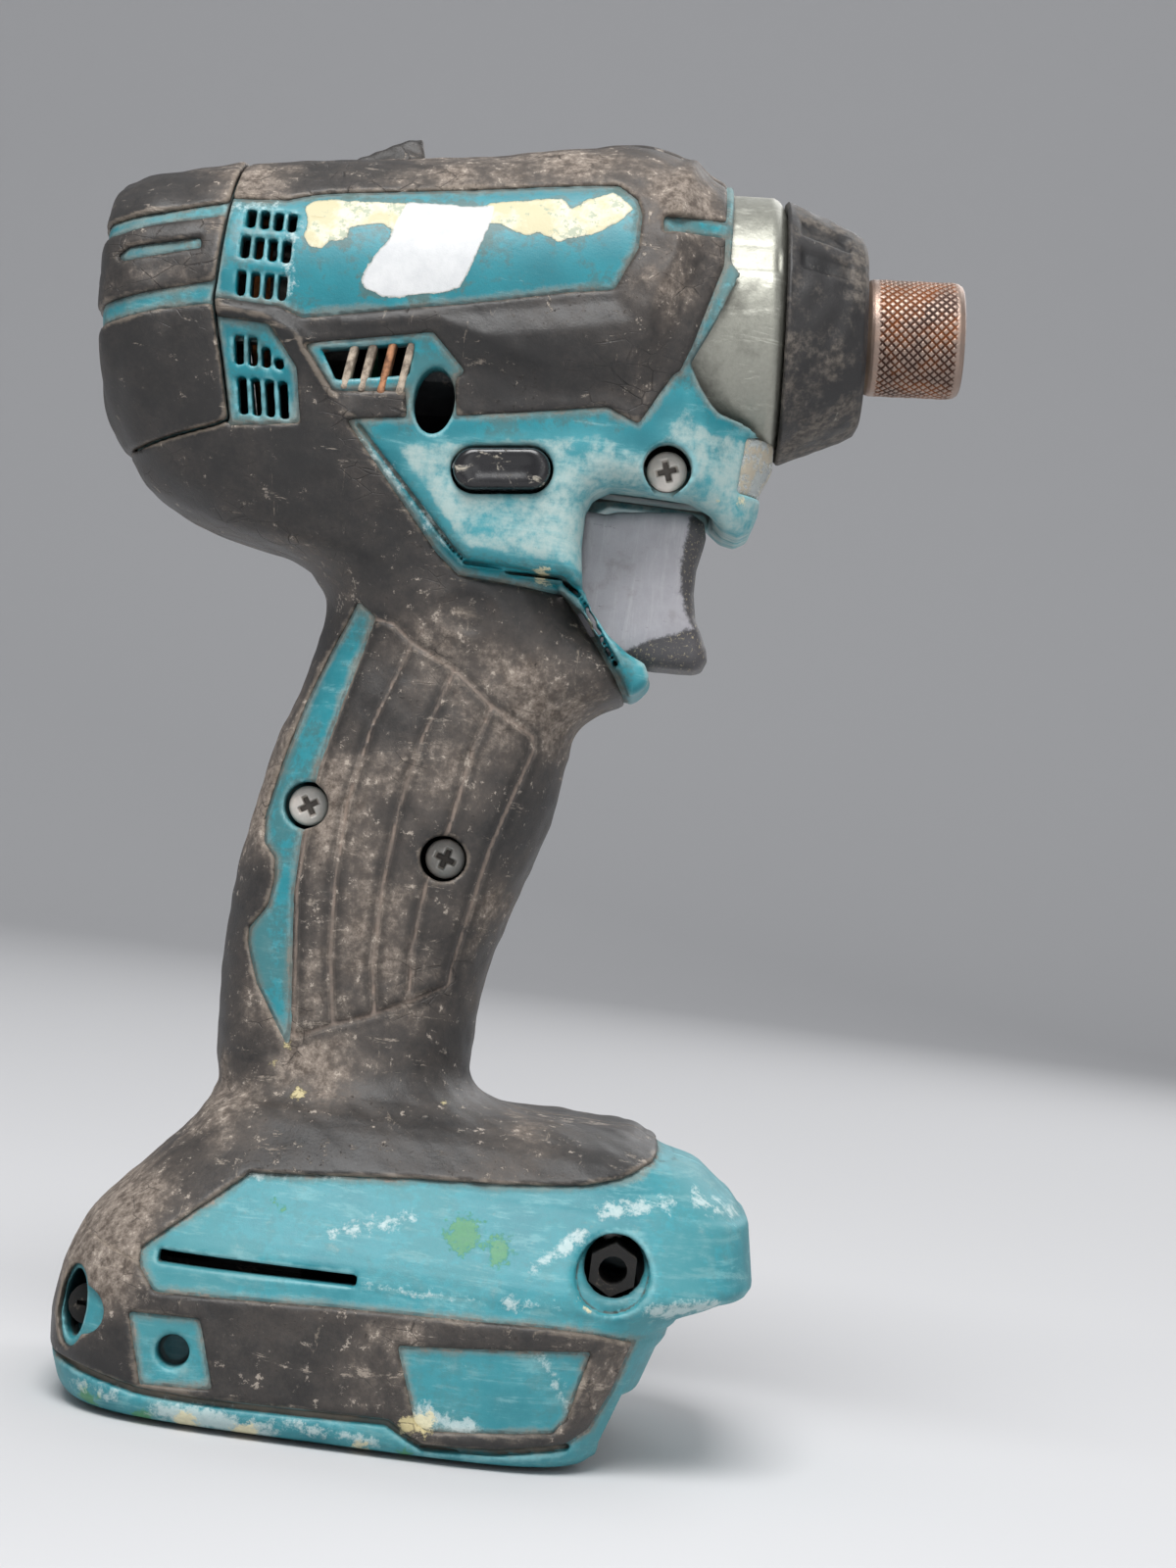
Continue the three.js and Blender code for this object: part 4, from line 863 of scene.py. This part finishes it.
# Here only real dust: pale dust packed into the grip grooves.
seam_shadow_and_groove_dust = (groove + speck * 0.5 + broad * 0.4).below(0.55, 0.8)
r.over(seam_shadow_and_groove_dust * 0.65, r.mix(speck, "5C5047", "B3A092"))
rim = (seam_mark + mid * 1.8 + speck * 1.2 + broad * 1.5).below(2.0, 2.6)
r.over(rim * 0.45, "9A8B7A")
cream_dab = (r.mark("cream") + speck * 5 + fine * 1.0).below(1.9, 2.5)
r.over(cream_dab * 0.85, r.mix(fine, "A8986C", "D6CA9A"))
cell = r.node(
    "TexVoronoi", {"feature": "DISTANCE_TO_EDGE"},
    {"Vector": r.stretched((1, 1, 1.9)), "Scale": 210.0}, out="Distance",
)
crack = cell.below(0.006, 0.03) * broad.above(0.52, 0.62) * mid.above(0.42, 0.55)
r.over(crack * 0.55, "151312")
roughness = (0.36 + dusty * 0.3 + thin_dust * 0.12 + mid * 0.2 + rim * 0.1).clamped()
height = fine * 0.35 + mid * 0.4 + speck * 0.35 - crack * 0.7 + cream_dab * 0.5 - scratch * 0.3
height = height - pores * 0.5 + grit * 0.4
r.wear(roughness, r.bump(height, 0.6, 0.0003))

rubber = rubber_field()
foot_split = outline_distance(FOOT_SPLIT, X, Z)
for side in ("right", "left"):
    for name, part, node in (
        ("rubber_skin", -foot_split - 0.2, "overmould"), ("foot_rubber", foot_split - 0.2, "foot_band"),
    ):
        field = np.maximum(rubber, part)
        finished(
            skin(f"{name}_{side}", field, marks_on(field, side == "right"), side),
            worn_rubber, "body", f"{node}_{side}", slot="elastomer",
        )

# A flap of rubber torn loose along the top of the barrel, standing up off the nylon.
FLAP = (
    (-25.6, 179.4), (-22.6, 181.2), (-15.7, 185), (-14, 185.2), (-13.2, 183.6), (-12.9, 181.6),
    (-13.4, 179.4),
)
flap_step = STEP * 0.6


def local_grid(low, high, step):
    """Grid axes in millimetres between two corners."""
    axes = []
    for k in range(3):
        axis = low[k] + step * np.arange(math.ceil((high[k] - low[k]) / step) + 1)
        axes.append(axis.astype(np.float32).reshape([-1 if k == j else 1 for j in range(3)]))
    return axes


flap_low = (-28.0, -12.0, 176.0)
x, y, z = local_grid(flap_low, (-10.0, 2.0, 188.0), flap_step)
lean = -7.2 + 0.55 * (z - 180) + 0.5 * np.sin(x * 0.5)
flap = smooth_max(outline_distance(FLAP, x, z), np.abs(y - lean) - 0.75, 0.7)
flap = flap + 0.15 * ripple(x, y, z, 3.0, 21)


def flap_marks(points):
    return {name: np.full(len(points), 9.0) for name in ("seam", "groove", "cream")}


finished(
    skin("torn_rubber_flap", flap, flap_marks, "right", flap_low, flap_step),
    worn_rubber, "body", slot="elastomer",
)

# ---- Rear cover ---------------------------------------------------------------------------
# One nylon cap over the fan and the rear bearing, held by two long screws. Rubber pads with a
# teal bar stand proud of it on either side, and two teal stripes are left between them.
COVER_BARE = (
    ((-37, 169.9), (-46.1, 167.3), (-52, 165.6), (-62, 162.2), (-62, 160.2), (-51.7, 163.8),
     (-46.2, 165.7), (-37, 167.9)),
    ((-37, 158), (-45.9, 155.5), (-51.6, 153.7), (-62, 150.2), (-62, 147), (-52, 150.9),
     (-45.6, 153.1), (-37, 155)),
    ((-52.7, 159.8), (-51.3, 161.1), (-41.5, 163.5), (-41.3, 162.3), (-51.9, 159.2)),
)
COVER_WALL = 2.6
cover_x = int((-31 - GRID_LOW[0]) / STEP)
cover_z = int((129 - GRID_LOW[2]) / STEP)
behind = np.s_[:cover_x, :, cover_z:]
cover_low = GRID_LOW + (0, 0, cover_z * STEP)
cover_bare = np.minimum.reduce([outline_distance(panel, X, Z) for panel in COVER_BARE])
bare, seam = cover_bare, np.minimum(np.abs(cover_bare), np.abs(rear_cover_zone))
fade = np.full_like(fade, 0.6)
cover_zone = rear_cover_zone + 0.14
cover = FORM + 0.85 + 0.65 / (1 + np.exp(-(cover_bare - 0.5) * 5))
cover = np.maximum(smooth_max(cover, cover_zone, 0.5), -(FORM + 1.4 + COVER_WALL))[behind]
pads = FORM + 0.1 + 0.2 * ripple(X, Y, Z, 7.0, 31)
pads = smooth_max(pads, -(cover_bare - 0.1), 0.8)
pads = smooth_max(np.maximum(pads, -(FORM + RUBBER_DEPTH)), cover_zone, 0.5)[behind]
for name, field, finish, node, slot in (
    ("rear_cap", cover, teal_nylon, "rear_cover", "nylon"),
    ("rear_cap_pads", pads, worn_rubber, "rear_cover_pad", "elastomer"),
):
    finished(
        skin(name, field, marks_on(field, False, cover_low), "whole", cover_low),
        finish, "body", node, slot=slot,
    )

# ---- Hammer case --------------------------------------------------------------------------
# The die-cast aluminium case that holds the hammer and carries the anvil in its nose. It is
# turned where it seats, left as cast outside, and has a shallow flat cast into either side.
CASE_PROFILE = (
    (13.4, 18.2), (13.4, 20.2), (40, 19.7), (40.8, 19.3), (41.4, 18.6), (43.4, 14), (43.4, 10.4),
    (53.4, 10.4), (53.4, 7.6), (43.4, 7.6), (41, 9), (39.6, 18.2),
)


def on_axis(u, side, v):
    """Puts places measured along the spindle axis into the tool's own frame."""
    return np.stack([
        u * math.cos(NOSE_UP) - v * math.sin(NOSE_UP), side,
        AXIS_HEIGHT + u * math.sin(NOSE_UP) + v * math.cos(NOSE_UP),
    ], axis=-1)


def turned(name, profile, sides, pitch, relief):
    """A ring turned from a closed profile of (u, r), cut into steps of pitch millimetres."""
    rings = []
    for (u0, r0), (u1, r1) in zip(profile, profile[1:] + profile[:1]):
        parts = max(1, round(math.hypot(u1 - u0, r1 - r0) / pitch))
        rings += [(u0 + (u1 - u0) * k / parts, r0 + (r1 - r0) * k / parts) for k in range(parts)]
    u, radius = (np.array(column)[:, None] for column in zip(*rings))
    angle = np.arange(sides)[None, :] * 2 * math.pi / sides
    raised = relief(u, radius, angle)
    full = radius + raised
    points = on_axis(np.broadcast_to(u, full.shape), full * np.cos(angle), full * np.sin(angle))
    row, column = np.meshgrid(np.arange(len(rings)), np.arange(sides), indexing="ij")
    below, after = (row + 1) % len(rings), (column + 1) % sides
    corners = [row * sides + column, row * sides + after, below * sides + after,
               below * sides + column]
    faces = np.stack([c.ravel() for c in corners], axis=1)
    return mesh_object(name, points.reshape(-1, 3), faces.tolist(), {"raised": raised.ravel()})


def between(value, low, high, soft):
    """1 inside a band and 0 outside it, with a soft edge."""
    return 1 / (1 + np.exp(-(np.minimum(value - low, high - value)) / soft))


def case_relief(u, radius, angle):
    outside = (radius > 15) & (u > 27) & (u < 41)
    side_angle = np.degrees(np.arcsin(np.sin(angle)))
    flat = between(side_angle, 17, 29, 0.5) * between(u, 30, 50, 0.25)
    rough = ripple(u, radius * np.cos(angle), radius * np.sin(angle), 2.2, 41)
    return np.where(outside, -0.4 * flat + 0.03 * rough, 0)


stained_cast = Finish("stained_cast_aluminium", Specular_IOR_Level=0.5)
c = stained_cast
mid, fine = c.noise(170, 6, 0.7), c.noise(1500, 5, 0.7)
broad = c.noise(50, 4)
streak = c.noise(120, 6, 0.75, (0.6, 1, 3), 0.4)
c.colour = c.mix(fine, "86867D", "A9A99F")
stain = (broad + mid * 0.6).above(0.74, 1.0)
c.over(stain * 0.75, "55544D")
shine = streak.above(0.56, 0.68)
c.over(shine * 0.6, "CBCABF")
c.over(c.mark("raised").below(-0.4, -0.2) * 0.35, "6B695F")
c.wear(
    (0.36 + stain * 0.25 + fine * 0.2).clamped(),
    c.bump(fine * 0.6 + mid * 0.6, 0.5, 0.0002), Metallic=(0.85 - stain * 0.45).clamped(),
)
finished(
    turned("cast_hammer_case", CASE_PROFILE, 224, 0.45, case_relief),
    stained_cast, "body", "hammer_case", slot="cast_aluminium",
)

# ---- Front bumper -------------------------------------------------------------------------
# A thick rubber ring pushed over the case's nose so that it doesn't mark the work. Shallow slots
# are moulded into its upper half, one over the top and two down each side.
BUMPER_PROFILE = (
    (42.1, 18.2), (41.9, 18.9), (42.3, 19.3), (46.5, 17.7), (51.4, 15.6), (53.3, 14.5), (54, 13.2),
    (54.1, 11.4), (53.8, 10.7), (43.8, 10.7), (43.8, 14.1),
)
SLOT_ANGLES = ((22, 32), (41, 53), (76, 104))


def bumper_relief(u, radius, angle):
    outer = between(radius, 13.2, 30, 0.15) * (u > 42.3)
    side_angle = np.degrees(np.arcsin(np.sin(angle)))
    slots = sum(between(side_angle, low, high, 0.5) for low, high in SLOT_ANGLES)
    rough = ripple(u, radius * np.cos(angle), radius * np.sin(angle), 4.0, 51)
    return outer * (-0.85 * slots * between(u, 43.8, 51.2, 0.16) + 0.09 * rough)


bumper_rubber = Finish("scuffed_bumper_rubber", IOR=1.5)
b = bumper_rubber
broad, mid, fine = b.noise(60, 4), b.noise(260, 6, 0.7), b.noise(1800, 5, 0.7)
streak = b.noise(110, 6, 0.75, (3, 1, 1), 0.4)
b.colour = b.mix(mid, "171617", "2C2A2A")
flour = b.noise(620, 5, 0.75)
dust = (broad + mid * 0.7 + flour * 0.4).above(0.95, 1.2)
b.over(dust * 0.45, b.mix(flour.above(0.35, 0.65), "3B352F", "8F857A"))
scratch = streak.above(0.62, 0.68) * fine.above(0.4, 0.6)
b.over(scratch * 0.7, "A39C90")
b.over(b.mark("raised").below(-0.65, -0.25) * 0.6, "161617")
b.wear(
    (0.42 + dust * 0.25 + mid * 0.15).clamped(),
    b.bump(fine * 0.5 + mid * 0.7 - scratch * 0.4, 0.5, 0.00025),
)
finished(
    turned("nose_bumper", BUMPER_PROFILE, 288, 0.3, bumper_relief),
    bumper_rubber, "body", "front_bumper", slot="bumper_rubber",
)

# ---- Bit sleeve ---------------------------------------------------------------------------
# The sprung steel sleeve that is pulled forward to free the bit. Its outside is rolled with a
# diamond knurl, which has rusted brown in its valleys and worn bright on its points.
SLEEVE_PROFILE = (
    (54.3, 6), (54.3, 7.9), (54.9, 8.4), (55.4, 8.55), (67, 8.55), (67.8, 8.4), (68.4, 8),
    (68.6, 7.6), (68.3, 7.3), (60.6, 7.3), (60.6, 6), (57.6, 6), (57.6, 7.4), (54.9, 7.4), (54.9, 6),
)
KNURLS = 40
KNURL_LEAD = 52.0  # millimetres along the axis for one turn of a groove


def knurl(u, radius, angle):
    turn = u * 2 * math.pi / KNURL_LEAD
    left = np.abs(np.sin((angle + turn) * KNURLS / 2))
    right = np.abs(np.sin((angle - turn) * KNURLS / 2))
    diamond = np.minimum(left, right)
    rolled = between(u, 56.2, 67.2, 0.12) * (radius > 8.2)
    nick = ripple(u, radius * np.cos(angle), radius * np.sin(angle), 3.0, 61)
    return rolled * (0.42 * np.minimum(diamond * 1.5, 0.85) - 0.36 + 0.04 * nick)


rusty_knurl = Finish("rusted_knurled_steel")
k = rusty_knurl
broad, mid, fine = k.noise(110, 4), k.noise(420, 5, 0.7), k.noise(2400, 4, 0.7)
point = k.mark("raised").above(-0.16, 0.0)
k.colour = k.mix(mid, "33211A", "5E4034")
orange = (broad + mid * 0.4).above(0.66, 0.84)
k.over(orange * 0.8, "8A4E20")
k.over(point * 0.75, k.mix(broad, "7E665A", "C2B2A6"))
k.wear(
    (0.58 - point * 0.22 + fine * 0.15).clamped(),
    k.bump(fine, 0.5, 0.00012), Metallic=(point * 0.45 + 0.35).clamped(),
)
finished(
    turned("knurled_sleeve", SLEEVE_PROFILE, 640, 0.14, knurl),
    rusty_knurl, "sleeve", "chuck_sleeve", slot="rusty_steel",
)

# ---- Trigger ------------------------------------------------------------------------------
# A grey moulded trigger, hollowed in front for the finger and rubbed smooth by it. It slides
# straight back 5 mm into the housing against its spring.
TRIGGER_OUTLINE = (
    (16.2, 134.4), (19.9, 134.2), (21.7, 134.8), (32.4, 136.2), (34.4, 135.2), (34.9, 133.2),
    (34.7, 131.4), (34.1, 128.3), (34.2, 124.7), (34.9, 121.2), (36.1, 118.8), (37.1, 116.8),
    (37.4, 115.2), (36.8, 113.6), (35.6, 112.8), (30, 112.4), (16.2, 113),
)
TRIGGER_FACE = (
    (33.4, 137.5), (32.2, 135.6), (31.7, 132.5), (31.6, 127.7), (32.1, 124), (33.2, 121.3),
    (34.6, 119.4), (30.4, 117.6), (24.6, 114.6), (21, 112), (50, 104), (50, 138),
)
TRIGGER_HALF_WIDTH = 8.2
trigger_step = 0.3
trigger_low = (13.5, -10.0, 110.5)
x, y, z = local_grid(trigger_low, (39.5, 10.0, 138.0), trigger_step)
trigger_side = outline_distance(TRIGGER_OUTLINE, x, z)
trigger_front = outline_distance(TRIGGER_FACE, x, z)
crown = 0.035 * y * y * gentle(trigger_front, 1.2)
width = TRIGGER_HALF_WIDTH - 0.5 * gentle(trigger_front, 1.6)
trigger_form = smooth_max(trigger_side + crown * 0.35, np.abs(y) - width, 2.4)
trigger_form = smooth_max(trigger_form, -(z - 112.6), 1.2) + 0.03 * ripple(x, y, z, 4.0, 71)


def trigger_marks(points):
    return {
        "front": read_at(trigger_front, points, trigger_low, trigger_step),
        "edge": np.clip(
            read_at(curvature(trigger_form, trigger_step), points, trigger_low, trigger_step),
            -2.5, 2.5,
        ),
    }


grey_trigger = Finish("rubbed_grey_plastic", IOR=1.5)
g = grey_trigger
broad, mid, fine = g.noise(90, 4), g.noise(380, 6, 0.7), g.noise(2200, 5, 0.7)
drag = g.noise(160, 6, 0.75, (5, 1, 0.6), 0.3)
across_drag = g.noise(240, 6, 0.75, (0.7, 1, 6), 0.3)
g.colour = g.mix(mid, "8E8C91", "ADABB0")
g.over(drag.above(0.5, 0.68) * 0.5, "B3B1B4")
g.over((across_drag.above(0.62, 0.68) * fine.above(0.4, 0.6)), "4B494D")
# Painted shade: the trigger's front face is darkened to near-black, while the side faces keep the grey.
dark = (g.mark("front") + mid * 2.2 + fine * 0.8).below(1.0, 1.7)
g.over(dark * 0.9, g.mix(broad, "1D1C1D", "3B383A"))
crumbs = fine.above(0.56, 0.66) * (dark + broad * 0.6).above(0.5, 1.0)
g.over(crumbs * 0.7, "B0A386")
stain = (broad + mid * 0.6).above(0.86, 1.02)
g.over(stain * 0.4, "6B6360")
g.over((g.mark("edge") * 0.4 + mid).above(0.9, 1.3) * 0.5, "9E9B9D")
g.wear(
    (0.3 + mid * 0.25 + dark * 0.1).clamped(),
    g.bump(fine * 0.3 + drag * 0.7, 0.4, 0.00018),
)
finished(
    skin("finger_trigger", trigger_form, trigger_marks, "right", trigger_low, trigger_step),
    grey_trigger, "trigger", "trigger", slot="grey_plastic",
)

# ---- Reversing lever ----------------------------------------------------------------------
# A glossy black push-through button that stands out on both sides. Dried plaster dirt is
# smeared over its face.
LEVER_HALF_LENGTH, LEVER_R, LEVER_END = 3.9, 2.95, 24.4
lever_step = 0.25
lever_low = (-4.5, -25.6, 131.5)
x, y, z = local_grid(lever_low, (14.0, 25.6, 142.3), lever_step)
along = (x - LEVER_MIDDLE[0]) * math.cos(LEVER_TILT) + (z - LEVER_MIDDLE[1]) * math.sin(LEVER_TILT)
over = (z - LEVER_MIDDLE[1]) * math.cos(LEVER_TILT) - (x - LEVER_MIDDLE[0]) * math.sin(LEVER_TILT)
stadium = np.hypot(np.maximum(np.abs(along) - LEVER_HALF_LENGTH, 0), over) - LEVER_R
dished = 0.5 * np.exp(-((over / 1.5) ** 2)) * between(np.abs(along), -1, 4.2, 0.3)
lever_form = smooth_max(stadium, np.abs(y) - LEVER_END + dished, 1.3)
black_plastic = Finish("glossy_black_plastic", IOR=1.5)
p = black_plastic
mid, fine = p.noise(420, 5, 0.7), p.noise(2200, 4, 0.7)
smear = p.noise(190, 6, 0.75, (1, 1, 2), 1.0)
p.colour = p.mix(mid, "101012", "1E1D20")
dirt = (smear + mid * 0.3).above(0.72, 0.8)
p.over(dirt * 0.85, p.mix(fine, "8B8172", "C9C2B2"))
p.wear(
    (0.16 + mid * 0.2 + dirt * 0.5).clamped(),
    p.bump(dirt * 1.0 + fine * 0.15, 0.45, 0.0002),
)
finished(
    skin("reversing_button", lever_form, None, "right", lever_low, lever_step),
    black_plastic, "reversing_lever", "reversing_lever", slot="black_plastic",
)

# ---- Work lamp ----------------------------------------------------------------------------
# A clear moulded lens over the lamp above the trigger, set flush into the tip of the housing
# and smeared with pale filler.
LENS_OUTLINE = (
    (37.4, 138.8), (43.4, 139.0), (44.2, 143.4), (43.8, 147.6), (37.8, 147.2),
)
LENS_HALF_WIDTH = 13.5
lens_step = 0.25
lens_low = (34.0, -15.0, 137.0)
x, y, z = local_grid(lens_low, (47.0, 15.0, 149.5), lens_step)
places = np.stack(np.broadcast_arrays(x, -np.abs(y), z), axis=-1).reshape(-1, 3).astype(float)
lens_form = read_at(FORM, places).reshape(np.broadcast(x, y, z).shape) + 0.9
lens = smooth_max(lens_form, outline_distance(LENS_OUTLINE, x, z), 0.9)
lens = smooth_max(lens, np.abs(y) - LENS_HALF_WIDTH, 1.0)
clear_lens = Finish(
    "smeared_clear_lens", IOR=1.49, Transmission_Weight=0.45, Coat_Roughness=0.05,
)
n = clear_lens
mid, fine = n.noise(300, 5, 0.7), n.noise(1600, 4, 0.7)
smear = (mid + fine * 0.3).above(0.6, 0.72)
n.colour = n.mix(smear * 0.8, "C9D0CF", "D6C7AC")
n.wear((0.12 + smear * 0.5).clamped(), n.bump(smear + fine * 0.2, 0.4, 0.0002))
finished(
    skin("lamp_window", lens, None, "right", lens_low, lens_step),
    clear_lens, "body", "lamp_lens", slot="clear_plastic",
)

# ---- Housing screws -----------------------------------------------------------------------
# Pan-head screws with cross recesses go in from the right and draw the halves together; a
# fourth lies deep in the foot and is left as drawn among the inner parts, coloured near-black as
# painted shade.
# Their heads are dull, chewed at the cross and packed with plaster dust, and painted dark as shade
# where they sink deepest.
SCREW_HEAD_R, SCREW_HEAD_HEIGHT, SCREW_SHANK_R, SCREW_END = 2.9, 2.2, 1.6, 7.5
screw_step = 0.13
dusty_screw = Finish("dusty_zinc_screw")
w = dusty_screw
mid, fine = w.noise(600, 5, 0.7), w.noise(2600, 4, 0.7)
dust = (mid + w.mark("sunk") * 0.5).above(0.5, 0.75)
w.colour = w.mix(mid, "B5ACA4", "E0D9D2")
w.over(dust * 0.7, w.mix(fine, "B5A697", "E2D8CF"))
# Painted shade: the bottom of the cross and the head's sides inside its recess are darkened to
# near-black.
w.over(w.mark("sunk").above(0.45, 0.75) * 0.85, "2B2622")
w.wear(
    (0.35 + dust * 0.35).clamped(), w.bump(fine + mid, 0.5, 0.00012),
    Metallic=(0.25 - dust * 0.2).clamped(),
)
for number, (name, (at_x, at_z, head_y)) in enumerate(DRESSED_SCREWS):
    screw_low = (at_x - 3.4, head_y - 0.6, at_z - 3.4)
    x, y, z = local_grid(screw_low, (at_x + 3.4, SCREW_END + 0.6, at_z + 3.4), screw_step)
    turn = 0.35 + 0.9 * number
    across = (x - at_x) * math.cos(turn) + (z - at_z) * math.sin(turn)
    upright = (z - at_z) * math.cos(turn) - (x - at_x) * math.sin(turn)
    off_axis = np.hypot(x - at_x, z - at_z)
    dome = head_y + 0.055 * off_axis**2
    head = smooth_max(off_axis - SCREW_HEAD_R, dome - y, 0.5)
    head = np.maximum(head, y - head_y - SCREW_HEAD_HEIGHT)
    depth = y - head_y
    slot_width = 0.46 - 0.12 * depth
    cross = np.minimum(
        np.maximum(np.abs(across) - slot_width, np.abs(upright) - 1.75 + 0.5 * depth),
        np.maximum(np.abs(upright) - slot_width, np.abs(across) - 1.75 + 0.5 * depth),
    )
    cross = np.maximum(cross, depth - 1.6)
    head = smooth_max(head, -cross, 0.15)
    shank = np.maximum(off_axis - SCREW_SHANK_R, np.maximum(head_y + 1 - y, y - SCREW_END))
    screw = np.minimum(head, shank)

    def sunk(points):
        return {"sunk": np.clip(points[:, 1] - head_y - 0.2, 0, 1.2)}

    finished(
        skin(f"cross_{name}", screw, sunk, "right", screw_low, screw_step),
        dusty_screw, "body", name, slot="steel",
    )

# ---- Inlet fins ---------------------------------------------------------------------------
# Upright fins stand behind the side inlet. They are pale with dust, and one shows the copper
# tone of the windings behind it.
FINS = {"window_fin_1": -18.2, "window_fin_2": -15.7, "window_fin_3": -13.0, "window_fin_4": -10.4}
fin_step = 0.22


def fin_finish(name, dusty, dark, rough, **constants):
    made = Finish(name, **constants)
    mid, fine = made.noise(500, 5, 0.7), made.noise(2200, 4, 0.7)
    made.colour = made.mix(mid.above(0.4, 0.62), dusty, dark)
    made.wear((rough + fine * 0.25).clamped(), made.bump(fine + mid, 0.4, 0.0002))
    return made


pale_fin = fin_finish("dusty_pale_plastic", "B7A896", "6E6256", 0.6, IOR=1.5)
copper_fin = fin_finish("dusty_copper_tone", "B98562", "6B4A38", 0.45, Metallic=0.5)
for name, at_x in FINS.items():
    fin_low = (at_x - 2.2, -25.4, 144.0)
    x, y, z = local_grid(fin_low, (at_x + 2.2, -19.4, 154.6), fin_step)
    slant = at_x + 0.12 * (z - 149)
    fin = smooth_max(np.abs(x - slant) - 0.55, np.abs(y + 22.4) - 1.9, 0.5)
    fin = smooth_max(fin, np.abs(z - 149.4) - 4.4, 0.4)
    finished(
        skin(name, fin, None, "right", fin_low, fin_step),
        copper_fin if name == "window_fin_3" else pale_fin, "body", slot="nylon",
    )

# ---- Inner parts --------------------------------------------------------------------------
# What shows through the vents, the battery slot and the nose: ground and blackened steel, the
# motor, the fan, the electronics and the bearings, all with a film of dust and grease.
def inner_finish(name, dark, light, metallic, rough, grain=900.0, **constants):
    made = Finish(name, **constants)
    mid, fine = made.noise(grain * 0.25, 5, 0.65), made.noise(grain * 2, 4, 0.7)
    made.colour = made.mix(mid.above(0.35, 0.65), dark, light)
    made.over((mid + fine * 0.4).above(0.8, 0.95) * 0.5, "7A6F62")
    made.wear(
        (rough + fine * 0.2).clamped(), made.bump(fine + mid * 0.5, 0.35, 0.00012),
        Metallic=(metallic - (mid + fine * 0.4).above(0.8, 0.95) * 0.3).clamped(),
    )
    return made


INNER = {
    inner_finish("ground_steel", "8A8883", "B8B5AE", 0.9, 0.25): (
        "sleeve_spring", "bit_ball_1", "bit_ball_2", "hammer_spring", "hammer_ball_1",
        "hammer_ball_2", "planet_gear_1", "planet_gear_2", "planet_gear_3", "planet_pin_1",
        "planet_pin_2", "planet_pin_3", "spindle_bearing", "motor_front_bearing",
        "motor_rear_bearing", "motor_shaft", "trigger_spring", "rear_cover_screw_1",
        "rear_cover_screw_2",
    ),
    inner_finish("blackened_steel", "2E2D2C", "56524D", 0.8, 0.35): (
        "sleeve_retaining_ring", "anvil", "hammer", "spindle", "ring_gear", "rotor", "stator",
    ),
    inner_finish("enamelled_copper", "7A3F1E", "B5703C", 0.7, 0.35, 1500.0): (
        "stator_windings",
    ),
    inner_finish("moulded_black", "121214", "242326", 0.0, 0.4): (
        "gear_case_cover", "cooling_fan", "switch_body", "controller", "terminal_block",
        "battery_leads",
    ),
    inner_finish("green_board", "0C3A24", "1B5A3A", 0.0, 0.4): ("sensor_board", "lamp_board"),
    inner_finish("sintered_bronze", "5A4526", "8C7442", 0.7, 0.4): ("anvil_bush",),
    # Painted shade: the hook inserts and the foot screw, set deep in holes in the foot, are coloured
    # near-black.
    inner_finish("insert_painted_shade", "080706", "14110F", 0.0, 0.7): (
        "hook_insert_right", "hook_insert_left", "foot_screw",
    ),
}
for finish, names in INNER.items():
    for name in names:
        nodes[name].data.materials.clear()
        nodes[name].data.materials.append(finish.material)
